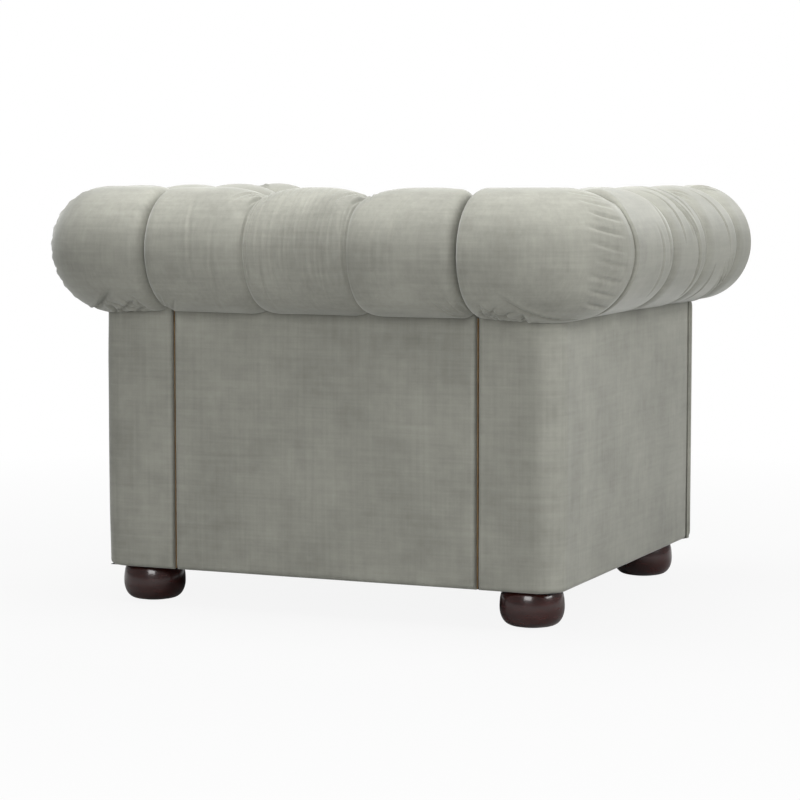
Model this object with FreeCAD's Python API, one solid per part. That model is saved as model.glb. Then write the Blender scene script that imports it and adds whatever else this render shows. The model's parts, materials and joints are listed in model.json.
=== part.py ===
import FreeCAD, Part
import math
import os

from FreeCAD import Vector

os.makedirs("parts", exist_ok=True)

# All sizes are in millimetres. +X is the sitter's left, +Y the back and +Z up. The origin is on the floor,
# midway between the two sides and midway between the cushion's front and the back of the roll.

# Body of the chair
seat_half_width = 284.0
arm_width = 146.0
body_depth = 722.0
wall_top = 521.0
unit_clearance = 1.0
unit_gap = 4.0
panel_thickness = 12.0
panel_corner_radius = 50.0

# Feet
foot_height = 66.0
foot_diameter = 110.0
foot_base_diameter = 60.0
foot_top_diameter = 93.0
foot_belly_height = 34.0
foot_rings = 2
foot_side_inset = 70.0
front_foot_inset = 52.0
rear_foot_inset = 68.0
glide_diameter = 26.0
glide_thickness = 4.0
glide_stand_off = 2.0
bolt_diameter = 8.0
bolt_depth_in_foot = 34.0
tee_plate_width = 20.0
tee_plate_thickness = 2.0
tee_barrel_diameter = 11.0
tee_barrel_length = 14.0

# Padded rolls along the arms and the back
roll_radius = 108.0
arm_roll_overhang = 7.0
back_roll_overhang = 6.0
arm_channels = 3
front_channel_length = 62.0
back_channels = 3
crest_dip = 15.0
button_dip = 16.0
row_bulge = 7.0
roll_row_height = 88.0
wall_row_height = 21.0
plain_height = 126.0
end_turn_radius = 30.0
end_steps = 4
roll_chords = 8
row_chords = 3
corner_steps = 8
corner_inner_radius = 4.0
shoulder_degrees = 132.0
corner_shoulder_degrees = 128.0
swell_power = 0.6
flat_limit = 0.0001

# Inside padding: how far it leans outwards at its two rows of tufts, and how thick it is
arm_lean_at_wall_row = 15.0
arm_lean_at_roll_row = 29.0
back_depth_at_seat = 211.0
back_lean_at_wall_row = 46.0
back_lean_at_roll_row = 88.0
arm_pad_thickness = 51.0
back_pad_foot_thickness = 55.0
back_pad_top_thickness = 64.0

# Timber and boards
rail_thickness = 25.0
board_thickness = 18.0
lining_thickness = 5.0
post_width = 45.0
block_height = 38.0
core_rail_width = 70.0
scroll_board_inset = 20.0
seat_rail_height = 100.0
seat_rail_lift = 8.0
tack_rail_height = 40.0
bottom_lift = 1.0

# Seat
deck_top = 245.0
deck_front_radius = 22.0
strap_width = 50.0
strap_thickness = 2.0
strap_count_along = 6
strap_count_across = 6
deck_clearance = 2.0
deck_side_clearance = 1.0
pad_lift = 5.0
facing_thickness = 25.0
facing_reveal = 4.0
apron_bulge = 6.0
apron_clearance = 2.0
cushion_clearance = 3.0
rest_clearance = 0.3
cushion_height = 140.0
cushion_crown = 32.0
cushion_front_bulge = 28.0
cushion_back_bulge = 8.0
cushion_side_draw = 12.0
cushion_end_lift = 8.0

# Buttons, rosettes and joining bolts
button_diameter = 22.0
button_dome = 7.0
button_sides = 8
dome_roundness = 0.82
rosette_diameter = 76.0
rosette_dome = 7.0
joining_bolt_diameter = 8.0
joining_head_width = 17.0
joining_head_thickness = 5.0
joining_bolt_height = 140.0
rod_sides = 12

# Places that follow from the sizes above
body_half_width = seat_half_width + arm_width
back_unit_half_width = seat_half_width - unit_clearance
body_rear = (body_depth + facing_thickness + cushion_front_bulge - back_roll_overhang - roll_radius) / 2.0
body_front = body_rear - body_depth
body_bottom = foot_height
frame_bottom = body_bottom + bottom_lift
roll_z = wall_top + roll_radius
arm_roll_x = body_half_width + arm_roll_overhang
back_roll_y = body_rear + back_roll_overhang
facing_front = body_front - facing_thickness
roll_front = facing_front - board_thickness
pad_bottom = deck_top + pad_lift
plain_top = wall_top - plain_height
wall_row_z = wall_top - wall_row_height
roll_row_z = wall_top + roll_row_height
corner_x = arm_roll_x - roll_radius
corner_y = back_roll_y - roll_radius
arm_pleat_pitch = (corner_y - body_front - front_channel_length) / arm_channels
back_pleat_pitch = 2.0 * back_unit_half_width / back_channels
arm_face_at_seat = seat_half_width
arm_face_at_wall_row = seat_half_width + arm_lean_at_wall_row
arm_face_at_roll_row = seat_half_width + arm_lean_at_roll_row
back_face_at_seat = body_rear - back_depth_at_seat
back_face_at_wall_row = back_face_at_seat + back_lean_at_wall_row
back_face_at_roll_row = back_face_at_seat + back_lean_at_roll_row
foot_x = body_half_width - foot_side_inset
front_foot_y = body_front + front_foot_inset
rear_foot_y = body_rear - rear_foot_inset
arm_lining_x = arm_face_at_seat + arm_pad_thickness
arm_frame_x = arm_lining_x + lining_thickness
panel_inner_x = body_half_width - panel_thickness
panel_inner_y = body_rear - panel_thickness
arm_unit_x = back_unit_half_width + unit_gap
front_board_back = body_front + board_thickness
rear_board_front = panel_inner_y - board_thickness
bottom_rail_top = frame_bottom + rail_thickness
top_rail_bottom = wall_top - rail_thickness
block_top = bottom_rail_top + block_height
seat_rail_bottom = frame_bottom + seat_rail_lift
seat_rail_top = seat_rail_bottom + seat_rail_height
seat_side_x = arm_lining_x - rail_thickness
seat_back_y = back_face_at_seat + back_pad_foot_thickness
deck_bottom = seat_rail_top + 2.0 * strap_thickness + deck_clearance
core_rail_z = roll_z - rail_thickness / 2.0


# Small helpers

def box(x0, x1, y0, y1, z0, z1):
    return Part.makeBox(x1 - x0, y1 - y0, z1 - z0, Vector(x0, y0, z0))


def rod(diameter, start, end):
    """Straight many-sided rod, for shanks and for the bores that they fill."""
    return bar(ring(start, end - start, diameter / 2.0, rod_sides), end - start)


def bar(outline, direction):
    return Part.Face(Part.makePolygon(outline + outline[:1])).extrude(direction)


def ring(centre, normal, radius, sides):
    """Corners of a regular outline about a centre, square to a normal."""
    turn = FreeCAD.Rotation(Vector(0, 0, 1), normal)
    points = [polar((0.0, 0.0), radius, 360.0 * index / sides) for index in range(sides)]
    return [centre + turn.multVec(Vector(x, y, 0)) for x, y in points]


def mirrored(shape):
    return shape.mirror(Vector(0, 0, 0), Vector(1, 0, 0))


def polar(centre, radius, degrees):
    angle = math.radians(degrees)
    return (centre[0] + radius * math.cos(angle), centre[1] + radius * math.sin(angle))


def midpoint(a, b, bulge):
    return ((a[0] + b[0]) / 2.0 - bulge, (a[1] + b[1]) / 2.0)


def closed_wire(start, steps, place):
    """Wire through a start and a list of (end,) lines and (middle, end) arcs, put in space by place."""
    edges = []
    here = place(*start)
    for step in steps:
        there = place(*step[-1])
        if len(step) == 1:
            edges.append(Part.makeLine(here, there))
        else:
            edges.append(Part.Arc(here, place(*step[0]), there).toShape())
        here = there
    return Part.Wire(edges)


def corners(start, steps, place):
    """Corners of an outline whose (middle, end, count) arcs are taken as that many equal chords."""
    points = [place(*start)]
    for step in steps:
        if len(step) == 1:
            points.append(place(*step[0]))
        else:
            points += chord_ends(Part.Arc(points[-1], place(*step[0]), place(*step[1])), step[2])
    return points[:-1]


def chord_ends(arc, count):
    span = arc.LastParameter - arc.FirstParameter
    return [arc.value(arc.FirstParameter + span * (index + 1) / count) for index in range(count)]


def flat_faces(a, b, c, d):
    """One flat four-sided face, or two triangles where the four corners are not in a plane."""
    normal = (c - a).cross(d - b)
    if normal.Length > 0 and abs((b - a).dot(normal)) / normal.Length < flat_limit:
        return [Part.Face(Part.makePolygon([a, b, c, d, a]))]
    return [Part.Face(Part.makePolygon([a, b, c, a])), Part.Face(Part.makePolygon([a, c, d, a]))]


def faceted_loft(rings):
    """Closed solid of flat faces through rings with matching corners, with flat ends."""
    faces = [Part.Face(Part.makePolygon(end + end[:1])) for end in (rings[0], rings[-1])]
    for low, high in zip(rings, rings[1:]):
        for index in range(len(low)):
            after = (index + 1) % len(low)
            faces += flat_faces(low[index], low[after], high[after], high[index])
    skin = Part.Compound(faces)
    skin.sewShape()
    solid = Part.makeSolid(skin.Shells[0])
    if solid.Volume < 0:
        solid.reverse()
    return solid


def prism(start, steps, place, direction):
    return Part.Face(closed_wire(start, steps, place)).extrude(direction)


def polygon(points):
    return points[0], [(point,) for point in points[1:]] + [(points[0],)]


def fused(shapes):
    whole = shapes[0]
    for shape in shapes[1:]:
        whole = whole.fuse(shape)
    return whole.removeSplitter()


def cut_all(shape, tools):
    for tool in tools:
        shape = shape.cut(tool)
    return shape


def save(name, shapes):
    shape = Part.Compound(shapes) if isinstance(shapes, list) else shapes
    shape.exportStep(os.path.join("parts", name + ".step"))
    print(name, "solids", len(shape.Solids), "volume", round(shape.Volume), "valid", shape.isValid())


def save_pair(name, shape):
    shapes = shape if isinstance(shape, list) else [shape]
    for side, copies in (("left", shapes), ("right", [mirrored(s) for s in shapes])):
        save(side + "_" + name, copies if len(copies) > 1 else copies[0])


# Padded covers: a section is drawn across the roll and lofted from pleat to pleat

CHANNEL_SHARES = (0.0, 0.1, 0.26, 0.5, 0.74, 0.9, 1.0)
CORNER_RUN = ((0.6, 0.75), (1.0, 0.0))

ARM_FACES = {
    "roll": arm_roll_x,
    "roll_row": arm_face_at_roll_row,
    "wall_row": arm_face_at_wall_row,
    "seat": arm_face_at_seat,
    "foot": arm_lining_x,
    "top": arm_lining_x,
}

BACK_FACES = {
    "roll": back_roll_y,
    "roll_row": back_face_at_roll_row,
    "wall_row": back_face_at_wall_row,
    "seat": back_face_at_seat,
    "foot": seat_back_y,
    "top": back_face_at_wall_row + back_pad_top_thickness,
}


def roll_arcs(roll_place, swell):
    """Outer side and crest of a roll, drawn in towards its foot by the lack of swell at a pleat."""
    radius = roll_radius - crest_dip * (1.0 - swell) / 2.0
    centre = (roll_place, wall_top + radius)
    crest = (roll_place, centre[1] + radius)
    return centre, [
        (polar(centre, radius, -45.0), (roll_place + radius, centre[1]), roll_chords),
        (polar(centre, radius, 45.0), crest, roll_chords),
    ]


def cover_section(faces, swell, place):
    """Whole section of a padded arm or back: the roll, two rows of tufts and the plain foot."""
    centre, steps = roll_arcs(faces["roll"], swell)
    roll_row = (faces["roll_row"] + button_dip * swell, roll_row_z)
    wall_row = (faces["wall_row"] + button_dip * (1.0 - swell), wall_row_z)
    seat = (faces["seat"], plain_top)
    shoulder = (centre[0] - roll_row[0] + centre[1] - wall_top) / 2.0
    steps += [
        (polar(centre, shoulder, shoulder_degrees), roll_row, roll_chords),
        (midpoint(roll_row, wall_row, row_bulge), wall_row, row_chords),
        (midpoint(wall_row, seat, row_bulge), seat, row_chords),
        ((faces["seat"], pad_bottom),),
        ((faces["foot"], pad_bottom),),
        ((faces["top"], wall_top),),
        ((faces["roll"], wall_top),),
    ]
    return corners((faces["roll"], wall_top), steps, place)


def corner_section(swell, place):
    """Section of the roll alone, where it turns the rear corner about a tight inner crease."""
    centre, steps = roll_arcs(arm_roll_x, swell)
    radius = centre[1] - wall_top
    inner_x = corner_x + corner_inner_radius
    reach = arm_roll_x - inner_x
    crease = (inner_x, roll_z + math.sqrt(roll_radius ** 2 - reach ** 2))
    steps += [
        (polar(centre, radius, corner_shoulder_degrees), crease, roll_chords),
        ((inner_x, wall_top),),
        ((arm_roll_x, wall_top),),
    ]
    return corners((arm_roll_x, wall_top), steps, place)


def swell_at(part):
    """Fullness of a channel at a share of its width, from one pleat to the next."""
    return max(0.0, math.sin(math.pi * part)) ** swell_power


def channel(faces, start, end, parts, place_at):
    """One stuffed channel between two pleats; parts are the shares at which sections stand."""
    sections = []
    for part in parts:
        station = start + (end - start) * part
        sections.append(cover_section(faces, swell_at(part), place_at(station)))
    return faceted_loft(sections)


def across_arm(y):
    return lambda u, z: Vector(u, y, z)


def across_back(x):
    return lambda u, z: Vector(x, u, z)


def around_corner(degrees):
    angle = math.radians(degrees)
    return lambda u, z: Vector(
        corner_x + (u - corner_x) * math.cos(angle), corner_y + (u - corner_x) * math.sin(angle), z
    )


def rear_corner():
    """The roll's turn from the arm to the back, ending at the joint with the back unit."""
    sections = []
    for step in range(corner_steps + 1):
        part = step / corner_steps
        sections.append(corner_section(min(1.0, 3.0 * part), around_corner(90.0 * part)))
    run = corner_x - arm_unit_x
    turned = around_corner(90.0)
    for part, swell in CORNER_RUN:
        shift = Vector(-run * part, 0, 0)
        sections.append(corner_section(swell, lambda u, z, s=shift: turned(u, z) + s))
    return faceted_loft(sections)


def roll_front_end():
    """Domed front end of an arm roll, faceted in step with the roll's section."""
    bend = roll_front + end_turn_radius
    flat = roll_radius - end_turn_radius
    rings = [(roll_radius, body_front)]
    for step in range(end_steps + 1):
        radius, y = polar((flat, bend), end_turn_radius, -90.0 * step / end_steps)
        rings.append((radius, y))
    return faceted_loft([ring(Vector(arm_roll_x, y, roll_z), Vector(0, 1, 0), radius, 4 * roll_chords)
                         for radius, y in rings])


def pleat_places():
    """Places along an arm of the pleats, from the rear corner forwards."""
    return [corner_y - arm_pleat_pitch * index for index in range(arm_channels + 1)]


def arm_cover(sunk):
    pleats = pleat_places()
    pieces = [channel(ARM_FACES, a, b, CHANNEL_SHARES, across_arm) for a, b in zip(pleats, pleats[1:])]
    front_shares = [share for share in CHANNEL_SHARES if share <= 0.5]
    full_channel = pleats[-1] + 2.0 * (body_front - pleats[-1])
    pieces.append(channel(ARM_FACES, pleats[-1], full_channel, front_shares, across_arm))
    pieces.append(rear_corner())
    pieces.append(roll_front_end())
    return cut_all(fused(pieces), sunk)


def back_cover(sunk):
    pieces = []
    for index in range(back_channels):
        start = -back_unit_half_width + back_pleat_pitch * index
        pieces.append(channel(BACK_FACES, start, start + back_pleat_pitch, CHANNEL_SHARES, across_back))
    return cut_all(fused(pieces), sunk)


# Outer panels, facings and the front apron

def arm_core(z0, z1):
    """Room inside an arm's outer panel, used to shape the timber to the rounded rear corner."""
    radius = panel_corner_radius - panel_thickness
    return panel_prism(arm_unit_x, panel_inner_x, panel_inner_y, radius, z0, z1)


def panel_prism(x0, x1, y1, radius, z0, z1):
    turn = (x1 - radius, y1 - radius)
    steps = [
        ((x1, body_front),),
        ((x1, turn[1]),),
        (polar(turn, radius, 45.0), (turn[0], y1)),
        ((x0, y1),),
        ((x0, body_front),),
    ]
    return prism((x0, body_front), steps, lambda x, y: Vector(x, y, z0), Vector(0, 0, z1 - z0))


def arm_outer_panel():
    """Upholstered board down the side of an arm and round its rear corner to the back joint."""
    outside = panel_prism(
        arm_unit_x, body_half_width, body_rear, panel_corner_radius, body_bottom, wall_top
    )
    return outside.cut(arm_core(body_bottom, wall_top))


def back_outer_panel():
    x = back_unit_half_width
    return box(-x, x, panel_inner_y, body_rear, body_bottom, wall_top)


def arm_facing():
    """Padded board on the front of an arm, under the end of the roll."""
    inner = arm_face_at_seat + facing_reveal
    points = [
        (inner, body_bottom),
        (body_half_width, body_bottom),
        (body_half_width, wall_top),
        (arm_face_at_wall_row + facing_reveal, wall_top),
        (inner, plain_top),
    ]
    start, steps = polygon(points)
    return prism(start, steps, lambda x, z: Vector(x, facing_front, z), Vector(0, facing_thickness, 0))


def front_apron():
    """Padded front below the cushion, with a rounded upper edge."""
    x = arm_face_at_seat + facing_reveal - apron_clearance
    radius = deck_front_radius
    middle_z = (body_bottom + deck_top - radius) / 2.0
    face = facing_front
    steps = [
        ((face - apron_bulge, middle_z), (face, deck_top - radius)),
        (polar((face + radius, deck_top - radius), radius, 135.0), (face + radius, deck_top)),
        ((front_board_back, deck_top),),
        ((front_board_back, body_bottom),),
        ((face, body_bottom),),
    ]
    return prism((face, body_bottom), steps, lambda y, z: Vector(-x, y, z), Vector(2.0 * x, 0, 0))


# Timber of an arm, drawn on the sitter's left

def arm_front_board():
    """Scroll-topped board that carries the facing and the end of the roll."""
    inner = arm_face_at_seat + facing_reveal
    lower = box(inner, panel_inner_x, body_front, front_board_back, frame_bottom, deck_top)
    upper = box(arm_frame_x, panel_inner_x, body_front, front_board_back, deck_top, wall_top)
    radius = roll_radius - scroll_board_inset
    centre = Vector(arm_roll_x, body_front, roll_z)
    scroll = Part.makeCylinder(radius, board_thickness, centre, Vector(0, 1, 0))
    neck_x = arm_frame_x + 2.0 * scroll_board_inset
    neck = box(neck_x, panel_inner_x, body_front, front_board_back, wall_top, roll_z)
    return fused([lower, upper, scroll, neck])


def arm_rails():
    """Bottom and top rails of an arm, rounded to the corner of the outer panel."""
    y0, y1 = front_board_back, rear_board_front
    bottom = box(arm_frame_x, panel_inner_x, y0, y1, frame_bottom, bottom_rail_top)
    top = box(arm_frame_x, panel_inner_x, y0, y1, top_rail_bottom, wall_top)
    bolts = [foot_bolt(y) for y in (front_foot_y, rear_foot_y)]
    bottom = cut_all(bottom.common(arm_core(frame_bottom, bottom_rail_top)), bolts)
    return bottom, top.common(arm_core(top_rail_bottom, wall_top))


def arm_posts():
    front = box(panel_inner_x - post_width, panel_inner_x, front_board_back,
                front_board_back + post_width, block_top, top_rail_bottom)
    rear_x = panel_inner_x - panel_thickness
    rear = box(rear_x - post_width, rear_x, rear_board_front - rail_thickness,
               rear_board_front, block_top, top_rail_bottom)
    middle_y = corner_y - 1.5 * arm_pleat_pitch
    middle = box(arm_frame_x + rail_thickness, panel_inner_x, middle_y - rail_thickness / 2.0,
                 middle_y + rail_thickness / 2.0, bottom_rail_top, top_rail_bottom)
    return front, rear, middle


def arm_rear_board():
    turn_x = body_half_width - panel_corner_radius
    return box(arm_unit_x, turn_x, rear_board_front, panel_inner_y, frame_bottom, wall_top)


def arm_corner_post():
    """Post at the rear inner edge of an arm, which the back unit is bolted to."""
    post = box(arm_unit_x, arm_unit_x + rail_thickness, rear_board_front - post_width, rear_board_front,
               frame_bottom, wall_top)
    return cut_all(post, [back_joining_shank(z) for z in back_joining_heights()])


def arm_tack_rail():
    return box(arm_frame_x, arm_frame_x + rail_thickness, front_board_back + post_width,
               rear_board_front - post_width, pad_bottom, pad_bottom + tack_rail_height)


def arm_bolt_rail():
    rail = box(arm_frame_x, arm_frame_x + rail_thickness, front_board_back + 2.0 * post_width,
               rear_board_front - 2.0 * post_width, joining_bolt_height - tack_rail_height / 2.0,
               joining_bolt_height + tack_rail_height / 2.0)
    return cut_all(rail, [arm_joining_shank(y) for y in arm_joining_places()])


def arm_lining():
    """Thin board behind the inside padding of an arm."""
    return box(arm_lining_x, arm_frame_x, front_board_back, rear_board_front, pad_bottom, wall_top)


def arm_core_rail():
    """Rail in the heart of the roll."""
    half = core_rail_width / 2.0
    return box(arm_roll_x - half, arm_roll_x + half, front_board_back, corner_y,
               core_rail_z, core_rail_z + rail_thickness)


def arm_core_blocks():
    """Blocks that hold the heart rail above the top rail."""
    blocks = []
    for index in range(arm_channels):
        y = corner_y - arm_pleat_pitch * (0.5 + index)
        blocks.append(box(arm_roll_x - core_rail_width / 2.0, panel_inner_x, y - rail_thickness / 2.0,
                          y + rail_thickness / 2.0, wall_top, core_rail_z))
    return blocks


def foot_blocks():
    """Blocks over the feet, bored for the bolts and recessed for the tee nuts."""
    blocks = []
    rear_end = rear_board_front
    for y0, y1, bolt_y in (
        (front_board_back, 2.0 * front_foot_y - front_board_back, front_foot_y),
        (2.0 * rear_foot_y - rear_end, rear_end, rear_foot_y),
    ):
        block = box(arm_frame_x, panel_inner_x, y0, y1, bottom_rail_top, block_top)
        block = block.common(arm_core(bottom_rail_top, block_top))
        blocks.append(cut_all(block, [foot_bolt(bolt_y), tee_barrel(bolt_y)]))
    return blocks


# Feet and their fixings

def foot_bolt(y):
    top = block_top + tee_plate_thickness
    return rod(bolt_diameter, Vector(foot_x, y, foot_height - bolt_depth_in_foot), Vector(foot_x, y, top))


def tee_barrel(y):
    return rod(tee_barrel_diameter, Vector(foot_x, y, block_top - tee_barrel_length),
                    Vector(foot_x, y, block_top))


def tee_nut(y):
    """Nut with a barrel let into the block and a square pronged plate on top."""
    half = tee_plate_width / 2.0
    top = block_top + tee_plate_thickness
    plate = box(foot_x - half, foot_x + half, y - half, y + half, block_top, top)
    return plate.fuse(tee_barrel(y)).cut(foot_bolt(y)).removeSplitter()


def bun_foot(y):
    """Turned bun: a flat base, one full belly and a narrower seat against the rail."""
    base = foot_base_diameter / 2.0
    belly = foot_diameter / 2.0
    top = foot_top_diameter / 2.0
    low = glide_stand_off
    middle = foot_belly_height
    turns = quarter_round(foot_rings)
    lower = [(base + (belly - base) * part, low + (middle - low) * rise) for part, rise in turns]
    upper = [(belly - (belly - top) * rise, middle + (foot_height - middle) * part) for part, rise in turns]
    profile = [(0.0, low)] + lower + upper[1:] + [(0.0, foot_height)]
    points = [Vector(foot_x + radius, y, z) for radius, z in profile]
    outline = Part.makePolygon(points + points[:1])
    foot = Part.Face(outline).revolve(Vector(foot_x, y, 0), Vector(0, 0, 1), 360)
    return cut_all(foot, [foot_bolt(y), foot_glide(y)])


def quarter_round(count):
    """Shares of the width and of the height along a quarter of an ellipse, from its flat start."""
    turns = [math.pi / 2.0 * index / count for index in range(count + 1)]
    return [(math.sin(turn), 1.0 - math.cos(turn)) for turn in turns]


def foot_glide(y):
    outline = ring(Vector(foot_x, y, 0), Vector(0, 0, 1), glide_diameter / 2.0, 2 * rod_sides)
    return bar(outline, Vector(0, 0, glide_thickness))


def four(make):
    shapes = [make(y) for y in (front_foot_y, rear_foot_y)]
    return shapes + [mirrored(shape) for shape in shapes]


# Timber of the back unit

def back_side_frame():
    """Raked side of the back unit."""
    foot_y = seat_back_y + lining_thickness
    top_y = BACK_FACES["top"] + lining_thickness
    points = [(foot_y, frame_bottom), (panel_inner_y, frame_bottom), (panel_inner_y, wall_top),
              (top_y, wall_top), (foot_y, pad_bottom)]
    start, steps = polygon(points)
    x = back_unit_half_width - rail_thickness
    side = prism(start, steps, lambda y, z: Vector(x, y, z), Vector(rail_thickness, 0, 0))
    return cut_all(side, [back_joining_shank(z) for z in back_joining_heights()])


def back_rail(y0, y1, z0, z1):
    x = back_unit_half_width - rail_thickness
    return box(-x, x, y0, y1, z0, z1)


def back_rails():
    foot_y = seat_back_y + lining_thickness
    bottom_top = frame_bottom + seat_rail_height
    bottom = back_rail(panel_inner_y - rail_thickness, panel_inner_y, frame_bottom, bottom_top)
    top_y = BACK_FACES["top"] + lining_thickness
    top = back_rail(top_y, panel_inner_y, top_rail_bottom, wall_top)
    tack_y = foot_y + 2.0 * lining_thickness
    tack = back_rail(tack_y, tack_y + rail_thickness, pad_bottom, pad_bottom + tack_rail_height)
    stud_y = panel_inner_y - rail_thickness
    stud = box(-post_width / 2.0, post_width / 2.0, stud_y, panel_inner_y, bottom_top, top_rail_bottom)
    return bottom, top, tack, stud


def back_lining():
    """Thin raked board behind the inside padding of the back."""
    low = seat_back_y
    high = BACK_FACES["top"]
    points = [(low, pad_bottom), (low + lining_thickness, pad_bottom),
              (high + lining_thickness, wall_top), (high, wall_top)]
    start, steps = polygon(points)
    x = back_unit_half_width
    return prism(start, steps, lambda y, z: Vector(-x, y, z), Vector(2.0 * x, 0, 0))


def back_core_rail():
    half = core_rail_width / 2.0
    return back_rail(back_roll_y - half, back_roll_y + half, core_rail_z, core_rail_z + rail_thickness)


def back_core_blocks():
    blocks = []
    for index in range(back_channels):
        x = -back_unit_half_width + back_pleat_pitch * (index + 0.5)
        blocks.append(box(x - rail_thickness / 2.0, x + rail_thickness / 2.0,
                          back_roll_y - core_rail_width / 2.0, panel_inner_y, wall_top, core_rail_z))
    return blocks


# Seat base, webbing and cushion

def seat_rails():
    """Front, rear and side rails of the seat base, with the side rails bored for joining bolts."""
    front_y = front_board_back
    front = box(-seat_side_x, seat_side_x, front_y, front_y + rail_thickness,
                seat_rail_bottom, seat_rail_top)
    rear = box(-seat_side_x, seat_side_x, seat_back_y - rail_thickness, seat_back_y,
               seat_rail_bottom, seat_rail_top)
    side = box(seat_side_x, arm_lining_x, front_y, seat_back_y, seat_rail_bottom, seat_rail_top)
    side = cut_all(side, [arm_joining_shank(y) for y in arm_joining_places()])
    return front, rear, side


def corner_braces():
    """Triangular blocks in the four corners of the seat base."""
    reach = 2.0 * post_width
    braces = []
    for y, way in ((front_board_back + rail_thickness, 1.0), (seat_back_y - rail_thickness, -1.0)):
        start, steps = polygon([(seat_side_x, y), (seat_side_x - reach, y), (seat_side_x, y + way * reach)])
        braces.append(prism(start, steps, lambda x, w: Vector(x, w, seat_rail_bottom + rail_thickness),
                            Vector(0, 0, post_width)))
    return braces + [mirrored(brace) for brace in braces]


def strap(places, start, end, first_over, lay):
    """Webbing strap that passes over and under the straps it crosses."""
    ramp = strap_thickness * 5.0
    half = strap_width / 2.0
    low = seat_rail_top
    heights = [low + strap_thickness if (index + first_over) % 2 else low for index in range(len(places))]
    line = [(start, heights[0])]
    for place, height, after in zip(places, heights, heights[1:] + [heights[-1]]):
        line.append((place + half, height))
        if after != height:
            line.append((place + half + ramp, after))
    line.append((end, heights[-1]))
    points = line + [(along, height + strap_thickness) for along, height in reversed(line)]
    start_point, steps = polygon(points)
    return prism(start_point, steps, lay[0], lay[1])


def spread(count, low, high):
    pitch = (high - low) / count
    return [low + pitch * (index + 0.5) for index in range(count)]


def webbing():
    """Straps from front to back woven with straps from side to side."""
    front = front_board_back
    xs = spread(strap_count_along, -seat_side_x, seat_side_x)
    ys = spread(strap_count_across, front + rail_thickness, seat_back_y - rail_thickness)
    half = strap_width / 2.0
    along = []
    for index, x in enumerate(xs):
        lay = (lambda y, z, x0=x - half: Vector(x0, y, z), Vector(strap_width, 0, 0))
        along.append(strap(ys, front, seat_back_y, index % 2, lay))
    across = []
    for index, y in enumerate(ys):
        lay = (lambda x, z, y0=y - half: Vector(x, y0, z), Vector(0, strap_width, 0))
        across.append(strap(xs, -arm_lining_x, arm_lining_x, (index + 1) % 2, lay))
    return along, across


def seat_deck():
    """Firm padded platform under the cushion."""
    x = arm_lining_x - deck_side_clearance
    return box(-x, x, front_board_back, seat_back_y, deck_bottom, deck_top)


CUSHION_SHARES = (-1.0, -0.9, -0.7, -0.38, 0.0, 0.38, 0.7, 0.9, 1.0)


def seat_cushion():
    """Loose cushion: crowned top, rounded front and sides that draw in towards the corners."""
    half = arm_face_at_seat - cushion_clearance
    back = back_face_at_seat - cushion_clearance - cushion_back_bulge
    base = deck_top + rest_clearance
    top = base + cushion_height
    stations = []
    for part in CUSHION_SHARES:
        fade = 1.0 - abs(part) ** 3
        crown = cushion_end_lift + (cushion_crown - cushion_end_lift) * fade
        front = facing_front + cushion_side_draw * (1.0 - fade)
        rear = back - cushion_side_draw * (1.0 - fade)
        steps = [
            ((front - cushion_front_bulge, (base + top) / 2.0), (front, top), roll_chords),
            (((front + rear) / 2.0, top + crown), (rear, top), roll_chords),
            ((rear + cushion_back_bulge, (base + top) / 2.0), (rear, base), row_chords),
            ((front, base),),
        ]
        stations.append(corners((front, base), steps, across_back(half * part)))
    return faceted_loft(stations)


def dust_cover():
    sheet = box(0, panel_inner_x, body_front, panel_inner_y, body_bottom, frame_bottom)
    right_side = sheet.common(arm_core(body_bottom, frame_bottom))
    middle = box(0, arm_unit_x, front_board_back, panel_inner_y, body_bottom, frame_bottom)
    half = fused([right_side, middle])
    half = cut_all(half, [foot_bolt(y) for y in (front_foot_y, rear_foot_y)])
    return fused([half, mirrored(half)])


# Bolts that join the units

def arm_joining_places():
    return (front_board_back + 3.0 * post_width, seat_back_y - 3.0 * post_width)


def arm_joining_shank(y):
    start = Vector(seat_side_x, y, joining_bolt_height)
    end = Vector(arm_frame_x + rail_thickness, y, joining_bolt_height)
    return rod(joining_bolt_diameter, start, end)


def hex_head(start, way):
    return bar(ring(start, way, joining_head_width / 2.0, 6), way * joining_head_thickness)


def joining_bolts():
    """Bolts that hold the arm units to the seat base and the back unit to the arm units."""
    bolts = []
    for y in arm_joining_places():
        head = hex_head(Vector(seat_side_x, y, joining_bolt_height), Vector(-1, 0, 0))
        bolts.append(head.fuse(arm_joining_shank(y)))
    for z in back_joining_heights():
        y = back_joining_y()
        head = hex_head(Vector(back_unit_half_width - rail_thickness, y, z), Vector(-1, 0, 0))
        bolts.append(head.fuse(back_joining_shank(z)))
    bolts = [bolt.removeSplitter() for bolt in bolts]
    return bolts + [mirrored(bolt) for bolt in bolts]


def back_joining_heights():
    return (joining_bolt_height, wall_top - 2.0 * post_width)


def back_joining_y():
    return rear_board_front - rail_thickness


def back_joining_shank(z):
    start = Vector(back_unit_half_width - rail_thickness, back_joining_y(), z)
    return rod(joining_bolt_diameter, start, Vector(arm_unit_x + rail_thickness, back_joining_y(), z))


# Covered buttons and rosettes

DOME_SHARES = (0.0, 0.6, 1.0)


def dome(centre, normal, diameter, height, sides):
    """Low covered button whose flat back lies in its tuft."""
    radius = diameter / 2.0
    rings = []
    for part in DOME_SHARES:
        width = radius * math.sqrt(1.0 - dome_roundness * part ** 2)
        rings.append(ring(centre + normal * (height * part), normal, width, sides))
    return faceted_loft(rings)


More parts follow.
